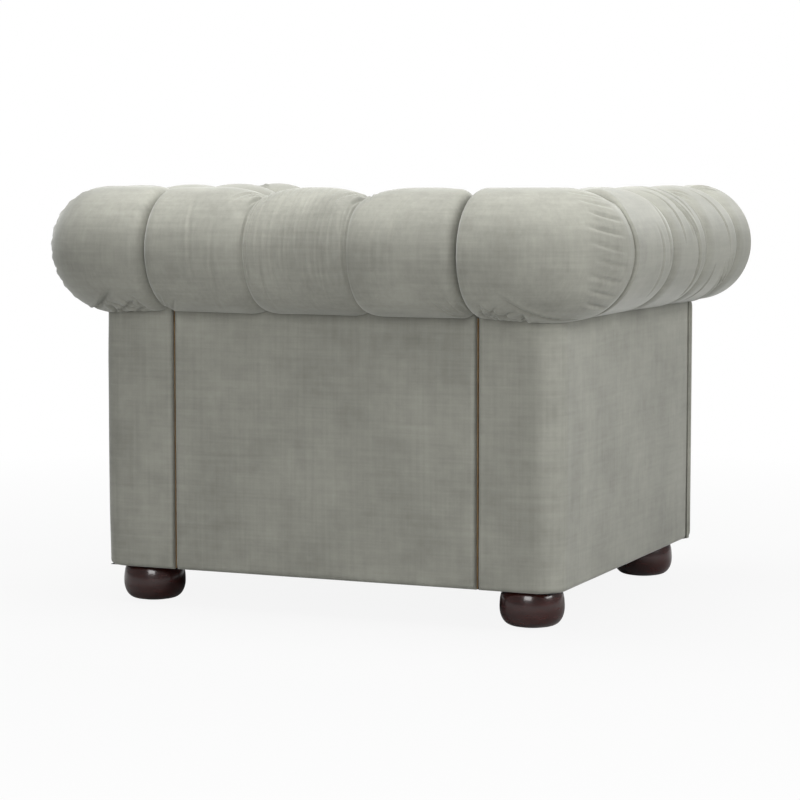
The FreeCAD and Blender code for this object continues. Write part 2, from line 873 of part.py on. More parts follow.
def tuft_buttons(faces, pleats, middles, put, inward):
    """Buttons on the crest and low row at the pleats, and on the roll row between them."""
    buttons = []
    for pleat in pleats:
        crest = put(pleat, faces["roll"], roll_z + roll_radius - crest_dip)
        buttons.append(dome(crest, Vector(0, 0, 1), button_diameter, button_dome, button_sides))
        low = put(pleat, faces["wall_row"] + button_dip, wall_row_z)
        buttons.append(dome(low, inward, button_diameter, button_dome, button_sides))
    for middle in middles:
        row = put(middle, faces["roll_row"] + button_dip, roll_row_z)
        buttons.append(dome(row, inward, button_diameter, button_dome, button_sides))
    return buttons


def arm_buttons():
    pleats = pleat_places()
    middles = [(a + b) / 2.0 for a, b in zip(pleats, pleats[1:])]
    return tuft_buttons(ARM_FACES, pleats[1:], middles, lambda y, u, z: Vector(u, y, z), Vector(-1, 0, 0))


def back_buttons():
    pleats = [-back_unit_half_width + back_pleat_pitch * index for index in range(1, back_channels)]
    middles = [-back_unit_half_width + back_pleat_pitch * (index + 0.5) for index in range(back_channels)]
    return tuft_buttons(BACK_FACES, pleats, middles, lambda x, u, z: Vector(x, u, z), Vector(0, -1, 0))


def arm_rosette():
    centre = Vector(arm_roll_x, roll_front, roll_z)
    return dome(centre, Vector(0, -1, 0), rosette_diameter, rosette_dome, 3 * button_sides)


# Build and write every piece

def write_arm():
    board = arm_front_board()
    core_rail = arm_core_rail()
    core_blocks = arm_core_blocks()
    bottom, top = arm_rails()
    front_post, rear_post, middle_post = arm_posts()
    buttons = arm_buttons()
    save_pair("arm_cover", arm_cover([board, core_rail] + core_blocks + buttons))
    save_pair("arm_outer_panel", arm_outer_panel())
    save_pair("arm_facing", arm_facing())
    save_pair("arm_front_board", board)
    save_pair("arm_bottom_rail", bottom)
    save_pair("arm_top_rail", top)
    save_pair("arm_posts", [front_post, rear_post, middle_post])
    save_pair("arm_corner_post", arm_corner_post())
    save_pair("arm_rear_board", arm_rear_board())
    save_pair("arm_tack_rails", [arm_tack_rail(), arm_bolt_rail()])
    save_pair("arm_lining", arm_lining())
    save_pair("arm_roll_core", [core_rail] + core_blocks)
    save_pair("arm_buttons", buttons)
    save_pair("arm_rosette", arm_rosette())


def write_back():
    core_rail = back_core_rail()
    core_blocks = back_core_blocks()
    bottom, top, tack, stud = back_rails()
    side = back_side_frame()
    buttons = back_buttons()
    save("back_cover", back_cover([core_rail] + core_blocks + buttons))
    save("back_outer_panel", back_outer_panel())
    save("back_side_frames", [side, mirrored(side)])
    save("back_bottom_rail", bottom)
    save("back_top_rail", top)
    save("back_tack_rail", tack)
    save("back_stud", stud)
    save("back_lining", back_lining())
    save("back_roll_core", [core_rail] + core_blocks)
    save("back_buttons", buttons)


def write_seat():
    front, rear, side = seat_rails()
    along, across = webbing()
    save("seat_front_rail", front)
    save("seat_rear_rail", rear)
    save_pair("seat_side_rail", side)
    save("seat_corner_braces", corner_braces())
    save("webbing_front_to_back", along)
    save("webbing_side_to_side", across)
    save("seat_deck", seat_deck())
    save("front_apron", front_apron())
    save("seat_cushion", seat_cushion())
    save("dust_cover", dust_cover())


def write_feet_and_fixings():
    blocks = foot_blocks()
    save("foot_blocks", blocks + [mirrored(block) for block in blocks])
    save("bun_feet", four(bun_foot))
    save("foot_glides", four(foot_glide))
    save("foot_bolts", four(foot_bolt))
    save("foot_tee_nuts", four(tee_nut))
    save("joining_bolts", joining_bolts())


write_arm()
write_back()
write_seat()
write_feet_and_fixings()
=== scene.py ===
import json
import logging
import math
from collections.abc import Iterable, Sequence
from dataclasses import dataclass, field, replace
from enum import Enum

import bpy
import numpy as np
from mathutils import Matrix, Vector
from mathutils.kdtree import KDTree


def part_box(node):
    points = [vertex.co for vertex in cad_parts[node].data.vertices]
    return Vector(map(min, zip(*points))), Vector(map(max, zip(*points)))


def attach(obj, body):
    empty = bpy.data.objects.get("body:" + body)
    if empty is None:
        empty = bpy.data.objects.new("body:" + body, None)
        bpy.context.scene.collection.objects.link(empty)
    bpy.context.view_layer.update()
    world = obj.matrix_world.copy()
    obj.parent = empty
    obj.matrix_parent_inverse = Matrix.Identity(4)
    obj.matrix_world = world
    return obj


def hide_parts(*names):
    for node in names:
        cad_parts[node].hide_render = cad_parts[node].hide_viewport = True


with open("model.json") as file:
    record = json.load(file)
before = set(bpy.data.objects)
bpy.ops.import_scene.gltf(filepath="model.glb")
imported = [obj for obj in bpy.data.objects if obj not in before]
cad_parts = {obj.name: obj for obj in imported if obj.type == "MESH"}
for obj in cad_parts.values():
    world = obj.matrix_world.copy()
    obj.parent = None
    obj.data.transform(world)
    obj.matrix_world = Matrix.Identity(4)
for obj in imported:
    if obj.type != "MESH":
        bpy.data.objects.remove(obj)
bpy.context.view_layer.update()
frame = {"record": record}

CHAIR = "chair_frame"
LOOSE_SEAT = "seat_cushion_body"

log = logging.getLogger("armchair")


class Side(Enum):
    """Sitter's left or right, with the sign that its places take along X."""

    LEFT = 1.0
    RIGHT = -1.0

    @property
    def word(self) -> str:
        """Name of the side, as the frame's nodes spell it."""
        return self.name.lower()


class Slot(Enum):
    """Material slots of the record."""

    VELVET = "velvet"
    PLATFORM = "platform_cloth"
    DUST = "dust_cloth"
    WEBBING = "webbing"
    DARK_WOOD = "dark_wood"
    HARDWOOD = "hardwood"
    PLYWOOD = "plywood"
    NYLON = "nylon"
    STEEL = "steel"


@dataclass(frozen=True)
class Places:
    """Main places of the chair in metres, read from the boxes of its frame."""

    side: float
    rear: float
    front: float
    roll_front: float
    bottom: float
    wall_top: float
    roll_side: float
    roll_rear: float
    seat_half: float

    @classmethod
    def read(cls) -> "Places":
        """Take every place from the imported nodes."""
        panel_low, panel_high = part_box("left_arm_outer_panel")
        cover_low, cover_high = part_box("left_arm_cover")
        return cls(
            side=panel_high.x,
            rear=panel_high.y,
            front=panel_low.y,
            roll_front=cover_low.y,
            bottom=panel_low.z,
            wall_top=panel_high.z,
            roll_side=cover_high.x,
            roll_rear=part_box("back_cover")[1].y,
            seat_half=cover_low.x,
        )


# Arithmetic on shader sockets


class Wire:
    """One output socket. Python's operators on it add the Math nodes that work them out."""

    def __init__(self, board: "Board", socket: bpy.types.NodeSocket) -> None:
        """Keep the socket and the board that it belongs to."""
        self.board = board
        self.socket = socket

    def _math(self, operation: str, *terms: "Wire | float") -> "Wire":
        """Add one Math node and return its result."""
        return self.board.add("ShaderNodeMath", dict(enumerate(terms)), operation=operation)

    def __add__(self, other: "Wire | float") -> "Wire":
        """Sum."""
        return self._math("ADD", self, other)

    __radd__ = __add__

    def __sub__(self, other: "Wire | float") -> "Wire":
        """Difference."""
        return self._math("SUBTRACT", self, other)

    def __rsub__(self, other: float) -> "Wire":
        """Difference from a number."""
        return self._math("SUBTRACT", other, self)

    def __mul__(self, other: "Wire | float") -> "Wire":
        """Product."""
        return self._math("MULTIPLY", self, other)

    __rmul__ = __mul__

    def __pow__(self, other: float) -> "Wire":
        """Power."""
        return self._math("POWER", self, other)

    def limited(self) -> "Wire":
        """The value kept between 0 and 1."""
        return self._math("MINIMUM", self._math("MAXIMUM", self, 0.0), 1.0)


class Board:
    """Node tree of one material, with one method for every kind of node."""

    def __init__(self, name: str) -> None:
        """Start an empty material."""
        self.material = bpy.data.materials.new(name)
        self.material.use_nodes = True
        self.tree = self.material.node_tree
        self.tree.nodes.clear()

    def node(self, kind: str, feeds: dict | None = None, **settings: object) -> bpy.types.Node:
        """Add a node.

        Args:
            kind: the node's type name.
            feeds: value or Wire for each input, by name or by number.
            settings: the node's own settings; stops holds a ramp's places and colours.

        Returns:
            The node, with its settings made and its inputs fed.
        """
        made = self.tree.nodes.new(kind)
        stops = settings.pop("stops", None)
        for key, value in settings.items():
            setattr(made, key, value)
        if stops:
            elements = made.color_ramp.elements
            for place, colour in stops[2:]:
                elements.new(place).color = colour
            for element, (place, colour) in zip(elements, stops):
                element.position = place
                element.color = colour
        for key, value in (feeds or {}).items():
            if isinstance(value, Wire):
                self.tree.links.new(value.socket, made.inputs[key])
            else:
                made.inputs[key].default_value = value
        return made

    def add(self, kind: str, feeds: dict | None = None, out: str | int = 0, **settings: object) -> Wire:
        """Add a node and return one of its outputs as a Wire."""
        return Wire(self, self.node(kind, feeds, **settings).outputs[out])

    def places(self, scale: tuple[float, float, float] = (1.0, 1.0, 1.0)) -> Wire:
        """Object coordinates, stretched along each axis."""
        coordinates = self.add("ShaderNodeTexCoord", out="Object")
        return self.add("ShaderNodeMapping", {"Vector": coordinates, "Scale": scale})

    def noise(self, where: Wire, scale: float, detail: float = 2.0, rough: float = 0.5) -> Wire:
        """Noise from about 0 to 1."""
        feeds = {"Vector": where, "Scale": scale, "Detail": detail, "Roughness": rough}
        return self.add("ShaderNodeTexNoise", feeds, out=0)

    def tint(self, factor: Wire, low: Sequence[float], high: Sequence[float]) -> Wire:
        """Colour between two colours."""
        feeds = {0: factor, 6: (*low, 1.0), 7: (*high, 1.0)}
        return self.add("ShaderNodeMix", feeds, out=2, data_type="RGBA")

    def bump(self, height: Wire, strength: float, distance: float) -> Wire:
        """Normal turned by a height."""
        feeds = {"Strength": strength, "Distance": distance, "Height": height}
        return self.add("ShaderNodeBump", feeds, out="Normal")

    def finish(self, shader: bpy.types.Node) -> bpy.types.Material:
        """Send a shader to the surface and return the material."""
        self.node("ShaderNodeOutputMaterial", {"Surface": Wire(self, shader.outputs[0])})
        return self.material


def linear(red: float, green: float, blue: float) -> tuple[float, float, float]:
    """Linear colour from a colour given in 255ths of the screen's scale."""

    def one(value: float) -> float:
        """One channel."""
        share = value / 255.0
        return share / 12.92 if share <= 0.04045 else ((share + 0.055) / 1.055) ** 2.4

    return one(red), one(green), one(blue)


def shaded(colour: Sequence[float], factor: float) -> tuple[float, ...]:
    """A colour made lighter or darker."""
    return tuple(min(1.0, channel * factor) for channel in colour)


# Finishes


@dataclass(frozen=True)
class Velvet:
    """Short-pile velvet: cloudy nap, faint threads both ways and a bright rim."""

    name: str = "sage_grey_velvet"
    colour: tuple[float, float, float] = linear(150, 150, 141)
    spread: float = 0.34
    thread_scale: float = 150.0
    cloud_scale: float = 7.0
    pile_scale: float = 1900.0
    sheen: float = 0.55
    sheen_roughness: float = 0.36
    roughness: float = 0.82

    def material(self) -> bpy.types.Material:
        """Build the nodes."""
        board = Board(self.name)
        upright = board.noise(board.places((1.0, 1.0, 0.035)), self.thread_scale, 3.0, 0.6)
        level = board.noise(board.places((0.05, 0.05, 1.0)), self.thread_scale, 3.0, 0.6)
        cloud = board.noise(board.places(), self.cloud_scale, 4.0, 0.62)
        pile = board.noise(board.places(), self.pile_scale, 2.0, 0.6)
        mottle = board.noise(board.places(), 46.0, 3.0, 0.6)
        nap = upright * 0.34 + level * 0.40 + cloud * 1.0 + mottle * 0.34 + pile * 0.36
        tone = (nap - 0.72).limited()
        low = shaded(self.colour, 1.0 - self.spread)
        high = shaded(self.colour, 1.0 + self.spread)
        rough = (self.roughness - 0.08 + 0.16 * cloud).limited()
        shader = board.node(
            "ShaderNodeBsdfPrincipled",
            {
                "Base Color": board.tint(tone, low, high),
                "Roughness": rough,
                "Normal": board.bump(pile * 0.6 + upright * 0.25 + level * 0.15, 0.22, 0.0006),
                "Sheen Weight": self.sheen,
                "Sheen Roughness": self.sheen_roughness,
                "Sheen Tint": (0.93, 0.94, 0.92, 1.0),
                "Specular IOR Level": 0.18,
            },
        )
        return board.finish(shader)


@dataclass(frozen=True)
class Timber:
    """Wood with long grain along one axis and darker rings."""

    name: str
    pale: tuple[float, float, float]
    dark: tuple[float, float, float]
    grain: tuple[float, float, float] = (60.0, 4.0, 60.0)
    roughness: float = 0.55
    lacquer: float = 0.0

    def material(self) -> bpy.types.Material:
        """Build the nodes."""
        board = Board(self.name)
        where = board.places(self.grain)
        grain = board.noise(where, 1.0, 6.0, 0.65)
        pores = board.noise(board.places(tuple(5.0 * scale for scale in self.grain)), 1.0, 2.0, 0.5)
        tone = (grain * 1.5 - 0.35 + (pores - 0.5) * 0.35).limited()
        shader = board.node(
            "ShaderNodeBsdfPrincipled",
            {
                "Base Color": board.tint(tone, self.dark, self.pale),
                "Roughness": (self.roughness + 0.12 * (grain - 0.5)).limited(),
                "Normal": board.bump(pores, 0.08, 0.0004),
                "Coat Weight": self.lacquer,
                "Coat Roughness": 0.12,
            },
        )
        return board.finish(shader)


@dataclass(frozen=True)
class Weave:
    """Plain woven cloth or webbing: threads over and under, with darker gaps."""

    name: str
    colour: tuple[float, float, float]
    thread: float = 0.0011
    contrast: float = 0.35
    roughness: float = 0.85

    def material(self) -> bpy.types.Material:
        """Build the nodes."""
        board = Board(self.name)
        turns = math.pi / self.thread
        across = board.places((turns, turns, turns))
        split = board.node("ShaderNodeSeparateXYZ", {"Vector": across})
        warp = Wire(board, split.outputs["X"])._math("SINE", Wire(board, split.outputs["X"]))
        weft = Wire(board, split.outputs["Y"])._math("SINE", Wire(board, split.outputs["Y"]))
        knots = 0.5 + 0.5 * (warp * weft)
        slub = board.noise(board.places(), 140.0, 3.0, 0.6)
        tone = (knots * 0.6 + slub * 0.5 - 0.05).limited()
        low = shaded(self.colour, 1.0 - self.contrast)
        high = shaded(self.colour, 1.0 + self.contrast)
        shader = board.node(
            "ShaderNodeBsdfPrincipled",
            {
                "Base Color": board.tint(tone, low, high),
                "Roughness": (self.roughness + 0.1 * (slub - 0.5)).limited(),
                "Normal": board.bump(knots, 0.35, self.thread * 0.5),
                "Sheen Weight": 0.12,
            },
        )
        return board.finish(shader)


@dataclass(frozen=True)
class Moulded:
    """Metal or plastic with fine scratches and a cloudy polish."""

    name: str
    colour: tuple[float, float, float]
    metal: float
    roughness: float
    scratch_scale: float = 400.0

    def material(self) -> bpy.types.Material:
        """Build the nodes."""
        board = Board(self.name)
        scratches = board.noise(board.places((1.0, 1.0, 0.1)), self.scratch_scale, 4.0, 0.7)
        cloud = board.noise(board.places(), 90.0, 3.0, 0.6)
        shader = board.node(
            "ShaderNodeBsdfPrincipled",
            {
                "Base Color": board.tint(cloud, shaded(self.colour, 0.86), shaded(self.colour, 1.12)),
                "Metallic": self.metal,
                "Roughness": (self.roughness + 0.22 * (scratches - 0.5)).limited(),
                "Normal": board.bump(scratches, 0.06, 0.0003),
            },
        )
        return board.finish(shader)


@dataclass(frozen=True)
class Palette:
    """Every finish of the chair, by the record's slot."""

    finishes: dict[Slot, object] = field(
        default_factory=lambda: {
            Slot.VELVET: Velvet(),
            Slot.PLATFORM: Weave("platform_cloth", linear(150, 149, 142), 0.0009, 0.22),
            Slot.DUST: Weave("dust_cloth", linear(38, 38, 40), 0.0014, 0.4),
            Slot.WEBBING: Weave("jute_webbing", linear(150, 128, 92), 0.0022, 0.4),
            Slot.DARK_WOOD: Timber(
                "mahogany", linear(70, 22, 15), linear(34, 11, 8), (34.0, 34.0, 190.0), 0.26, 0.8
            ),
            Slot.HARDWOOD: Timber("birch_rail", linear(206, 176, 132), linear(168, 132, 90)),
            Slot.PLYWOOD: Timber(
                "birch_ply", linear(212, 184, 142), linear(176, 146, 104), (9.0, 9.0, 120.0)
            ),
            Slot.NYLON: Moulded("nylon_glide", linear(58, 54, 50), 0.0, 0.42),
            Slot.STEEL: Moulded("zinc_steel", linear(176, 178, 180), 1.0, 0.36),
        }
    )

    def build(self) -> dict[Slot, bpy.types.Material]:
        """Make every material once."""
        return {slot: finish.material() for slot, finish in self.finishes.items()}


# Meshes from arrays of points


class Skin:
    """Closed meshes made of grids of points, with faces outwards."""

    @staticmethod
    def volume(points: np.ndarray, faces: list[tuple[int, ...]]) -> float:
        """Signed volume inside a closed skin, for telling which way its faces look."""
        total = 0.0
        fours = np.array([face for face in faces if len(face) == 4])
        corners = points[fours]
        for second, third in ((1, 2), (2, 3)):
            crossed = np.cross(corners[:, second], corners[:, third])
            total += float(np.einsum("ij,ij->i", corners[:, 0], crossed).sum())
        for face in faces:
            if len(face) != 4:
                fan = points[list(face)]
                crossed = np.cross(fan[1:-1], fan[2:])
                total += float((fan[0] * crossed).sum())
        return total / 6.0

    @classmethod
    def tube(cls, name: str, rows: np.ndarray) -> bpy.types.Object:
        """Close a grid of rings into one skin, with a flat face at each end.

        Args:
            name: the new object's name.
            rows: points as (rings, points of a ring, 3); each ring closes on itself.
        """
        count, around = rows.shape[:2]
        points = rows.reshape(-1, 3)
        ring = np.arange(around)
        after = np.roll(ring, -1)
        faces: list[tuple[int, ...]] = []
        for index in range(count - 1):
            here = index * around
            there = here + around
            block = np.stack([here + ring, here + after, there + after, there + ring], axis=1)
            faces += [tuple(face) for face in block.tolist()]
        faces.append(tuple(reversed(range(around))))
        faces.append(tuple((count - 1) * around + index for index in range(around)))
        return cls.build(name, points, faces)

    @classmethod
    def build(cls, name: str, points: np.ndarray, faces: list[tuple[int, ...]]) -> bpy.types.Object:
        """Make an object at the origin from points and faces, turned outwards and smooth."""
        if cls.volume(points, faces) < 0.0:
            faces = [tuple(reversed(face)) for face in faces]
        mesh = bpy.data.meshes.new(name)
        mesh.from_pydata(points.tolist(), [], faces)
        mesh.polygons.foreach_set("use_smooth", [len(face) <= 4 for face in faces])
        mesh.update()
        made = bpy.data.objects.new(name, mesh)
        bpy.context.scene.collection.objects.link(made)
        return made

    @staticmethod
    def grid(rows: int, columns: int) -> tuple[np.ndarray, list[tuple[int, ...]], list[int]]:
        """Numbers of a grid's points, its faces, and the points of its border in order."""
        grid = np.arange(rows * columns).reshape(rows, columns)
        cells = np.stack([grid[:-1, :-1], grid[:-1, 1:], grid[1:, 1:], grid[1:, :-1]], axis=-1)
        border = np.concatenate([grid[0, :-1], grid[:-1, -1], grid[-1, :0:-1], grid[:0:-1, 0]])
        return grid, [tuple(cell) for cell in cells.reshape(-1, 4).tolist()], border.tolist()

    @staticmethod
    def lathe(profile: Sequence[tuple[float, float]], sides: int) -> np.ndarray:
        """Rings about Z through (radius, height) points."""
        turns = np.linspace(0.0, 2.0 * math.pi, sides, endpoint=False)
        return np.array(
            [
                np.stack([radius * np.cos(turns), radius * np.sin(turns), np.full(sides, height)], axis=1)
                for radius, height in profile
            ]
        )

    @staticmethod
    def mirrored(points: np.ndarray, side: Side) -> np.ndarray:
        """Points drawn on the left, on the side that is asked for."""
        return points * np.array([side.value, 1.0, 1.0])


def smooth_step(value: np.ndarray | float, low: float, high: float) -> np.ndarray:
    """Rise smoothly from 0 at low to 1 at high."""
    share = np.clip((np.asarray(value, dtype=float) - low) / (high - low), 0.0, 1.0)
    return share * share * (3.0 - 2.0 * share)


def spaced(line: np.ndarray, step: float) -> np.ndarray:
    """Points at equal steps along a line of points."""
    lengths = np.concatenate([[0.0], np.cumsum(np.linalg.norm(np.diff(line, axis=0), axis=1))])
    count = max(2, int(round(lengths[-1] / step)) + 1)
    marks = np.linspace(0.0, lengths[-1], count)
    return np.stack([np.interp(marks, lengths, line[:, axis]) for axis in range(line.shape[1])], axis=1)


# Geometry node trees


class Growth:
    """A geometry node tree with named sizes that turns a host mesh into a plain mesh."""

    def __init__(self, name: str, material: bpy.types.Material) -> None:
        """Start a tree with a geometry input and output."""
        self.tree = bpy.data.node_groups.new(name, "GeometryNodeTree")
        self.material = material
        self.sizes: dict[str, str] = {}
        self.tree.interface.new_socket("Host", in_out="INPUT", socket_type="NodeSocketGeometry")
        self.tree.interface.new_socket("Piece", in_out="OUTPUT", socket_type="NodeSocketGeometry")
        self.entry = self.tree.nodes.new("NodeGroupInput")

    def size(self, name: str, kind: str = "NodeSocketFloat") -> bpy.types.NodeSocket:
        """Add a named size to the tree's inputs and return its socket."""
        socket = self.tree.interface.new_socket(name, in_out="INPUT", socket_type=kind)
        self.sizes[name] = socket.identifier
        return self.entry.outputs[name]

    def node(self, kind: str, feeds: dict | None = None, **settings: object) -> bpy.types.Node:
        """Add a node with its settings, and link or set its inputs."""
        made = self.tree.nodes.new(kind)
        for key, value in settings.items():
            setattr(made, key, value)
        for key, value in (feeds or {}).items():
            if isinstance(value, bpy.types.NodeSocket):
                self.tree.links.new(value, made.inputs[key])
            else:
                made.inputs[key].default_value = value
        return made

    def close(self, shape: bpy.types.NodeSocket) -> None:
        """End the tree: realise the copies, set the material and send the result out."""
        smooth = self.node("GeometryNodeSetShadeSmooth", {"Geometry": shape})
        real = self.node("GeometryNodeRealizeInstances", {"Geometry": smooth.outputs[0]})
        painted = self.node(
            "GeometryNodeSetMaterial", {"Geometry": real.outputs[0], "Material": self.material}
        )
        self.node("NodeGroupOutput", {0: painted.outputs[0]})

    def grow(self, host: bpy.types.Object, name: str, **sizes: object) -> bpy.types.Object:
        """Run the tree on a host and keep the result as a plain mesh.

        Args:
            host: object whose mesh the tree starts from; it is removed.
            name: the new piece's name.
            sizes: a value for each named size, with spaces written as underscores.
        """
        modifier = host.modifiers.new("growth", "NODES")
        modifier.node_group = self.tree
        for key, value in sizes.items():
            modifier[self.sizes[key.replace("_", " ")]] = value
        evaluated = host.evaluated_get(bpy.context.evaluated_depsgraph_get())
        mesh = bpy.data.meshes.new_from_object(evaluated)
        host.modifiers.remove(modifier)
        made = bpy.data.objects.new(name, mesh)
        bpy.context.scene.collection.objects.link(made)
        bpy.data.objects.remove(host)
        return made


def path_host(lines: Iterable[np.ndarray], closed: bool) -> bpy.types.Object:
    """Mesh of edges only, one run for each line of points."""
    points: list = []
    edges: list[tuple[int, int]] = []
    for line in lines:
        first = len(points)
        points += np.asarray(line).tolist()
        edges += [(first + index, first + index + 1) for index in range(len(line) - 1)]
        if closed:
            edges.append((len(points) - 1, first))
    mesh = bpy.data.meshes.new("host")
    mesh.from_pydata(points, edges, [])
    host = bpy.data.objects.new("host", mesh)
    bpy.context.scene.collection.objects.link(host)
    return host


def point_host(points: np.ndarray, facing: np.ndarray) -> bpy.types.Object:
    """Mesh of loose points, each with the direction that its copy looks in."""
    mesh = bpy.data.meshes.new("host")
    mesh.from_pydata(np.asarray(points).tolist(), [], [])
    attribute = mesh.attributes.new("facing", "FLOAT_VECTOR", "POINT")
    attribute.data.foreach_set("vector", np.asarray(facing, dtype=np.float32).ravel())
    host = bpy.data.objects.new("host", mesh)
    bpy.context.scene.collection.objects.link(host)
    return host


class Piping(Growth):
    """Welt cord: a round tube along a path."""

    def __init__(self, material: bpy.types.Material) -> None:
        """Build the tree."""
        super().__init__("piping", material)
        radius = self.size("Radius")
        step = self.size("Step")
        curve = self.node("GeometryNodeMeshToCurve", {"Mesh": self.entry.outputs["Host"]})
        even = self.node("GeometryNodeResampleCurve", {"Curve": curve.outputs[0]})
        self.measure(even, step)
        profile = self.node("GeometryNodeCurvePrimitiveCircle", {"Resolution": 10, "Radius": radius})
        tube = self.node(
            "GeometryNodeCurveToMesh",
            {"Curve": even.outputs[0], "Profile Curve": profile.outputs[0], "Fill Caps": True},
        )
        self.close(tube.outputs[0])

    def measure(self, resample: bpy.types.Node, step: bpy.types.NodeSocket) -> None:
        """Set a resample node to work by length."""
        resample.mode = "LENGTH"
        self.tree.links.new(step, resample.inputs["Length"])

    def along(
        self, name: str, lines: Iterable[np.ndarray], radius: float, closed: bool
    ) -> bpy.types.Object:
        """Piping of one radius along each line."""
        return self.grow(path_host(lines, closed), name, Radius=radius, Step=radius)


class Scatter(Growth):
    """Copies of one small shape on points, each looking along its point's own direction."""

    def __init__(self, name: str, shape: bpy.types.Object, material: bpy.types.Material) -> None:
        """Build the tree round the shape, which is removed once its last copies are grown."""
        super().__init__(name, material)
        spin = self.size("Spin")
        source = self.node("GeometryNodeObjectInfo", {"Object": shape})
        facing = self.node("GeometryNodeInputNamedAttribute", {"Name": "facing"}, data_type="FLOAT_VECTOR")
        turn = self.node("FunctionNodeAlignRotationToVector", {"Vector": facing.outputs[0]}, axis="Z")
        number = self.node("GeometryNodeInputIndex")
        angle = self.node("ShaderNodeMath", {0: number.outputs[0], 1: spin}, operation="MULTIPLY")
        about = self.node("ShaderNodeCombineXYZ", {"Z": angle.outputs[0]})
        spun = self.node(
            "FunctionNodeRotateRotation",
            {"Rotation": turn.outputs[0], "Rotate By": about.outputs[0]},
            rotation_space="LOCAL",
        )
        copies = self.node(
            "GeometryNodeInstanceOnPoints",
            {
                "Points": self.entry.outputs["Host"],
                "Instance": source.outputs["Geometry"],
                "Rotation": spun.outputs[0],
            },
        )
        self.close(copies.outputs[0])

    def over(
        self, name: str, points: np.ndarray, facing: np.ndarray, spin: float
    ) -> bpy.types.Object:
        """Copies on the points, each turned a further spin about its own direction."""
        return self.grow(point_host(points, facing), name, Spin=spin)


# Folds and tufts, drawn in a cover's unrolled plane: a runs along the roll, b from the crest inwards


@dataclass(frozen=True)
class Crease:
    """One thin fold between two points of the unrolled plane, bowed to one side."""

    start: tuple[float, float]
    end: tuple[float, float]
    depth: float = 0.0022
    width: float = 0.0026
    bow: float = 0.0

    def press(self, a: np.ndarray, b: np.ndarray) -> np.ndarray:
        """Depth that the fold presses into the cover at each point."""
        run = (self.end[0] - self.start[0], self.end[1] - self.start[1])
        length = math.hypot(*run)
        along = ((a - self.start[0]) * run[0] + (b - self.start[1]) * run[1]) / length**2
        aside = ((b - self.start[1]) * run[0] - (a - self.start[0]) * run[1]) / length
        inside = np.clip(along, 0.0, 1.0)
        aside = aside - self.bow * 4.0 * inside * (1.0 - inside)
        fade = np.where((along > 0.0) & (along < 1.0), np.sin(math.pi * inside) ** 0.7, 0.0)
        ridge = 0.35 * np.exp(-(((aside - 2.1 * self.width) / (1.3 * self.width)) ** 2))
        return self.depth * fade * (np.exp(-((aside / self.width) ** 2)) - ridge)


@dataclass(frozen=True)
class Fan:
    """Folds that spread from one point, as cloth does from a stitch or a staple."""

    origin: tuple[float, float]
    first: float
    last: float
    count: int
    length: float
    start_share: float = 0.12
    depth: float = 0.0022
    width: float = 0.0026
    bow: float = 0.0

    def creases(self) -> list[Crease]:
        """The fan's folds; every other one is shorter."""
        folds = []
        for index, angle in enumerate(np.linspace(self.first, self.last, self.count)):
            turn = math.radians(float(angle))
            way = (math.cos(turn), math.sin(turn))
            reach = self.length * (1.0 if index % 2 == 0 else 0.72)
            near = self.length * self.start_share
            folds.append(
                Crease(
                    (self.origin[0] + way[0] * near, self.origin[1] + way[1] * near),
                    (self.origin[0] + way[0] * reach, self.origin[1] + way[1] * reach),
                    self.depth,
                    self.width,
                    self.bow,
                )
            )
        return folds


@dataclass(frozen=True)
class Section:
    """Section across a padded side in (u, z), where u grows from the seat outwards."""

    crest: float
    row: float
    seat: float
    wall_top: float
    radius: float
    row_height: float
    seat_height: float
    foot: float
    fullness: float = 2.2
    start_turn: float = -96.0
    hidden_depth: float = 0.038

    def face(self, z: np.ndarray) -> np.ndarray:
        """Place u of the inside face at a height below the roll row."""
        share = np.clip((z - self.seat_height) / (self.row_height - self.seat_height), 0.0, 1.0)
        return self.seat + (self.row - self.seat) * 0.5 * (share + share * share * (3.0 - 2.0 * share))

    def visible(self, step: float) -> tuple[np.ndarray, np.ndarray, np.ndarray]:
        """Points of the padding that show, their outward normals and their distance from the crest."""
        turns = np.radians(np.linspace(self.start_turn, 90.0, 200))
        across = self.crest + self.radius * np.cos(turns)
        outer = np.stack([across, self.wall_top + self.radius + self.radius * np.sin(turns)], 1)
        quarter = np.linspace(0.0, math.pi / 2.0, 160)[1:]
        share = 2.0 / self.fullness
        across = self.crest - (self.crest - self.row) * np.sin(quarter) ** share
        rise = self.wall_top + 2.0 * self.radius - self.row_height
        up = self.row_height + rise * np.maximum(np.cos(quarter), 0.0) ** share
        inner = np.stack([across, up], 1)
        heights = np.linspace(self.row_height, self.foot, 120)[1:]
        wall = np.stack([self.face(heights), heights], 1)
        line = spaced(np.concatenate([outer, inner, wall]), step)
        tangent = np.gradient(line, axis=0)
        tangent /= np.linalg.norm(tangent, axis=1)[:, None]
        normals = np.stack([tangent[:, 1], -tangent[:, 0]], 1)
        walked = np.concatenate([[0.0], np.cumsum(np.linalg.norm(np.diff(line, axis=0), axis=1))])
        crest_at = self.radius * math.radians(90.0 - self.start_turn)
        return line, normals, walked - crest_at

    def hidden(self, first: np.ndarray, last: np.ndarray) -> np.ndarray:
        """Points inside the chair that close the section from its foot back to its start."""
        foot = [last[0] + self.hidden_depth, self.foot]
        head = [self.row + self.hidden_depth + 0.008, self.wall_top - 0.02]
        corners = np.array([last, foot, head, first])
        return spaced(corners, 0.03)[1:-1]


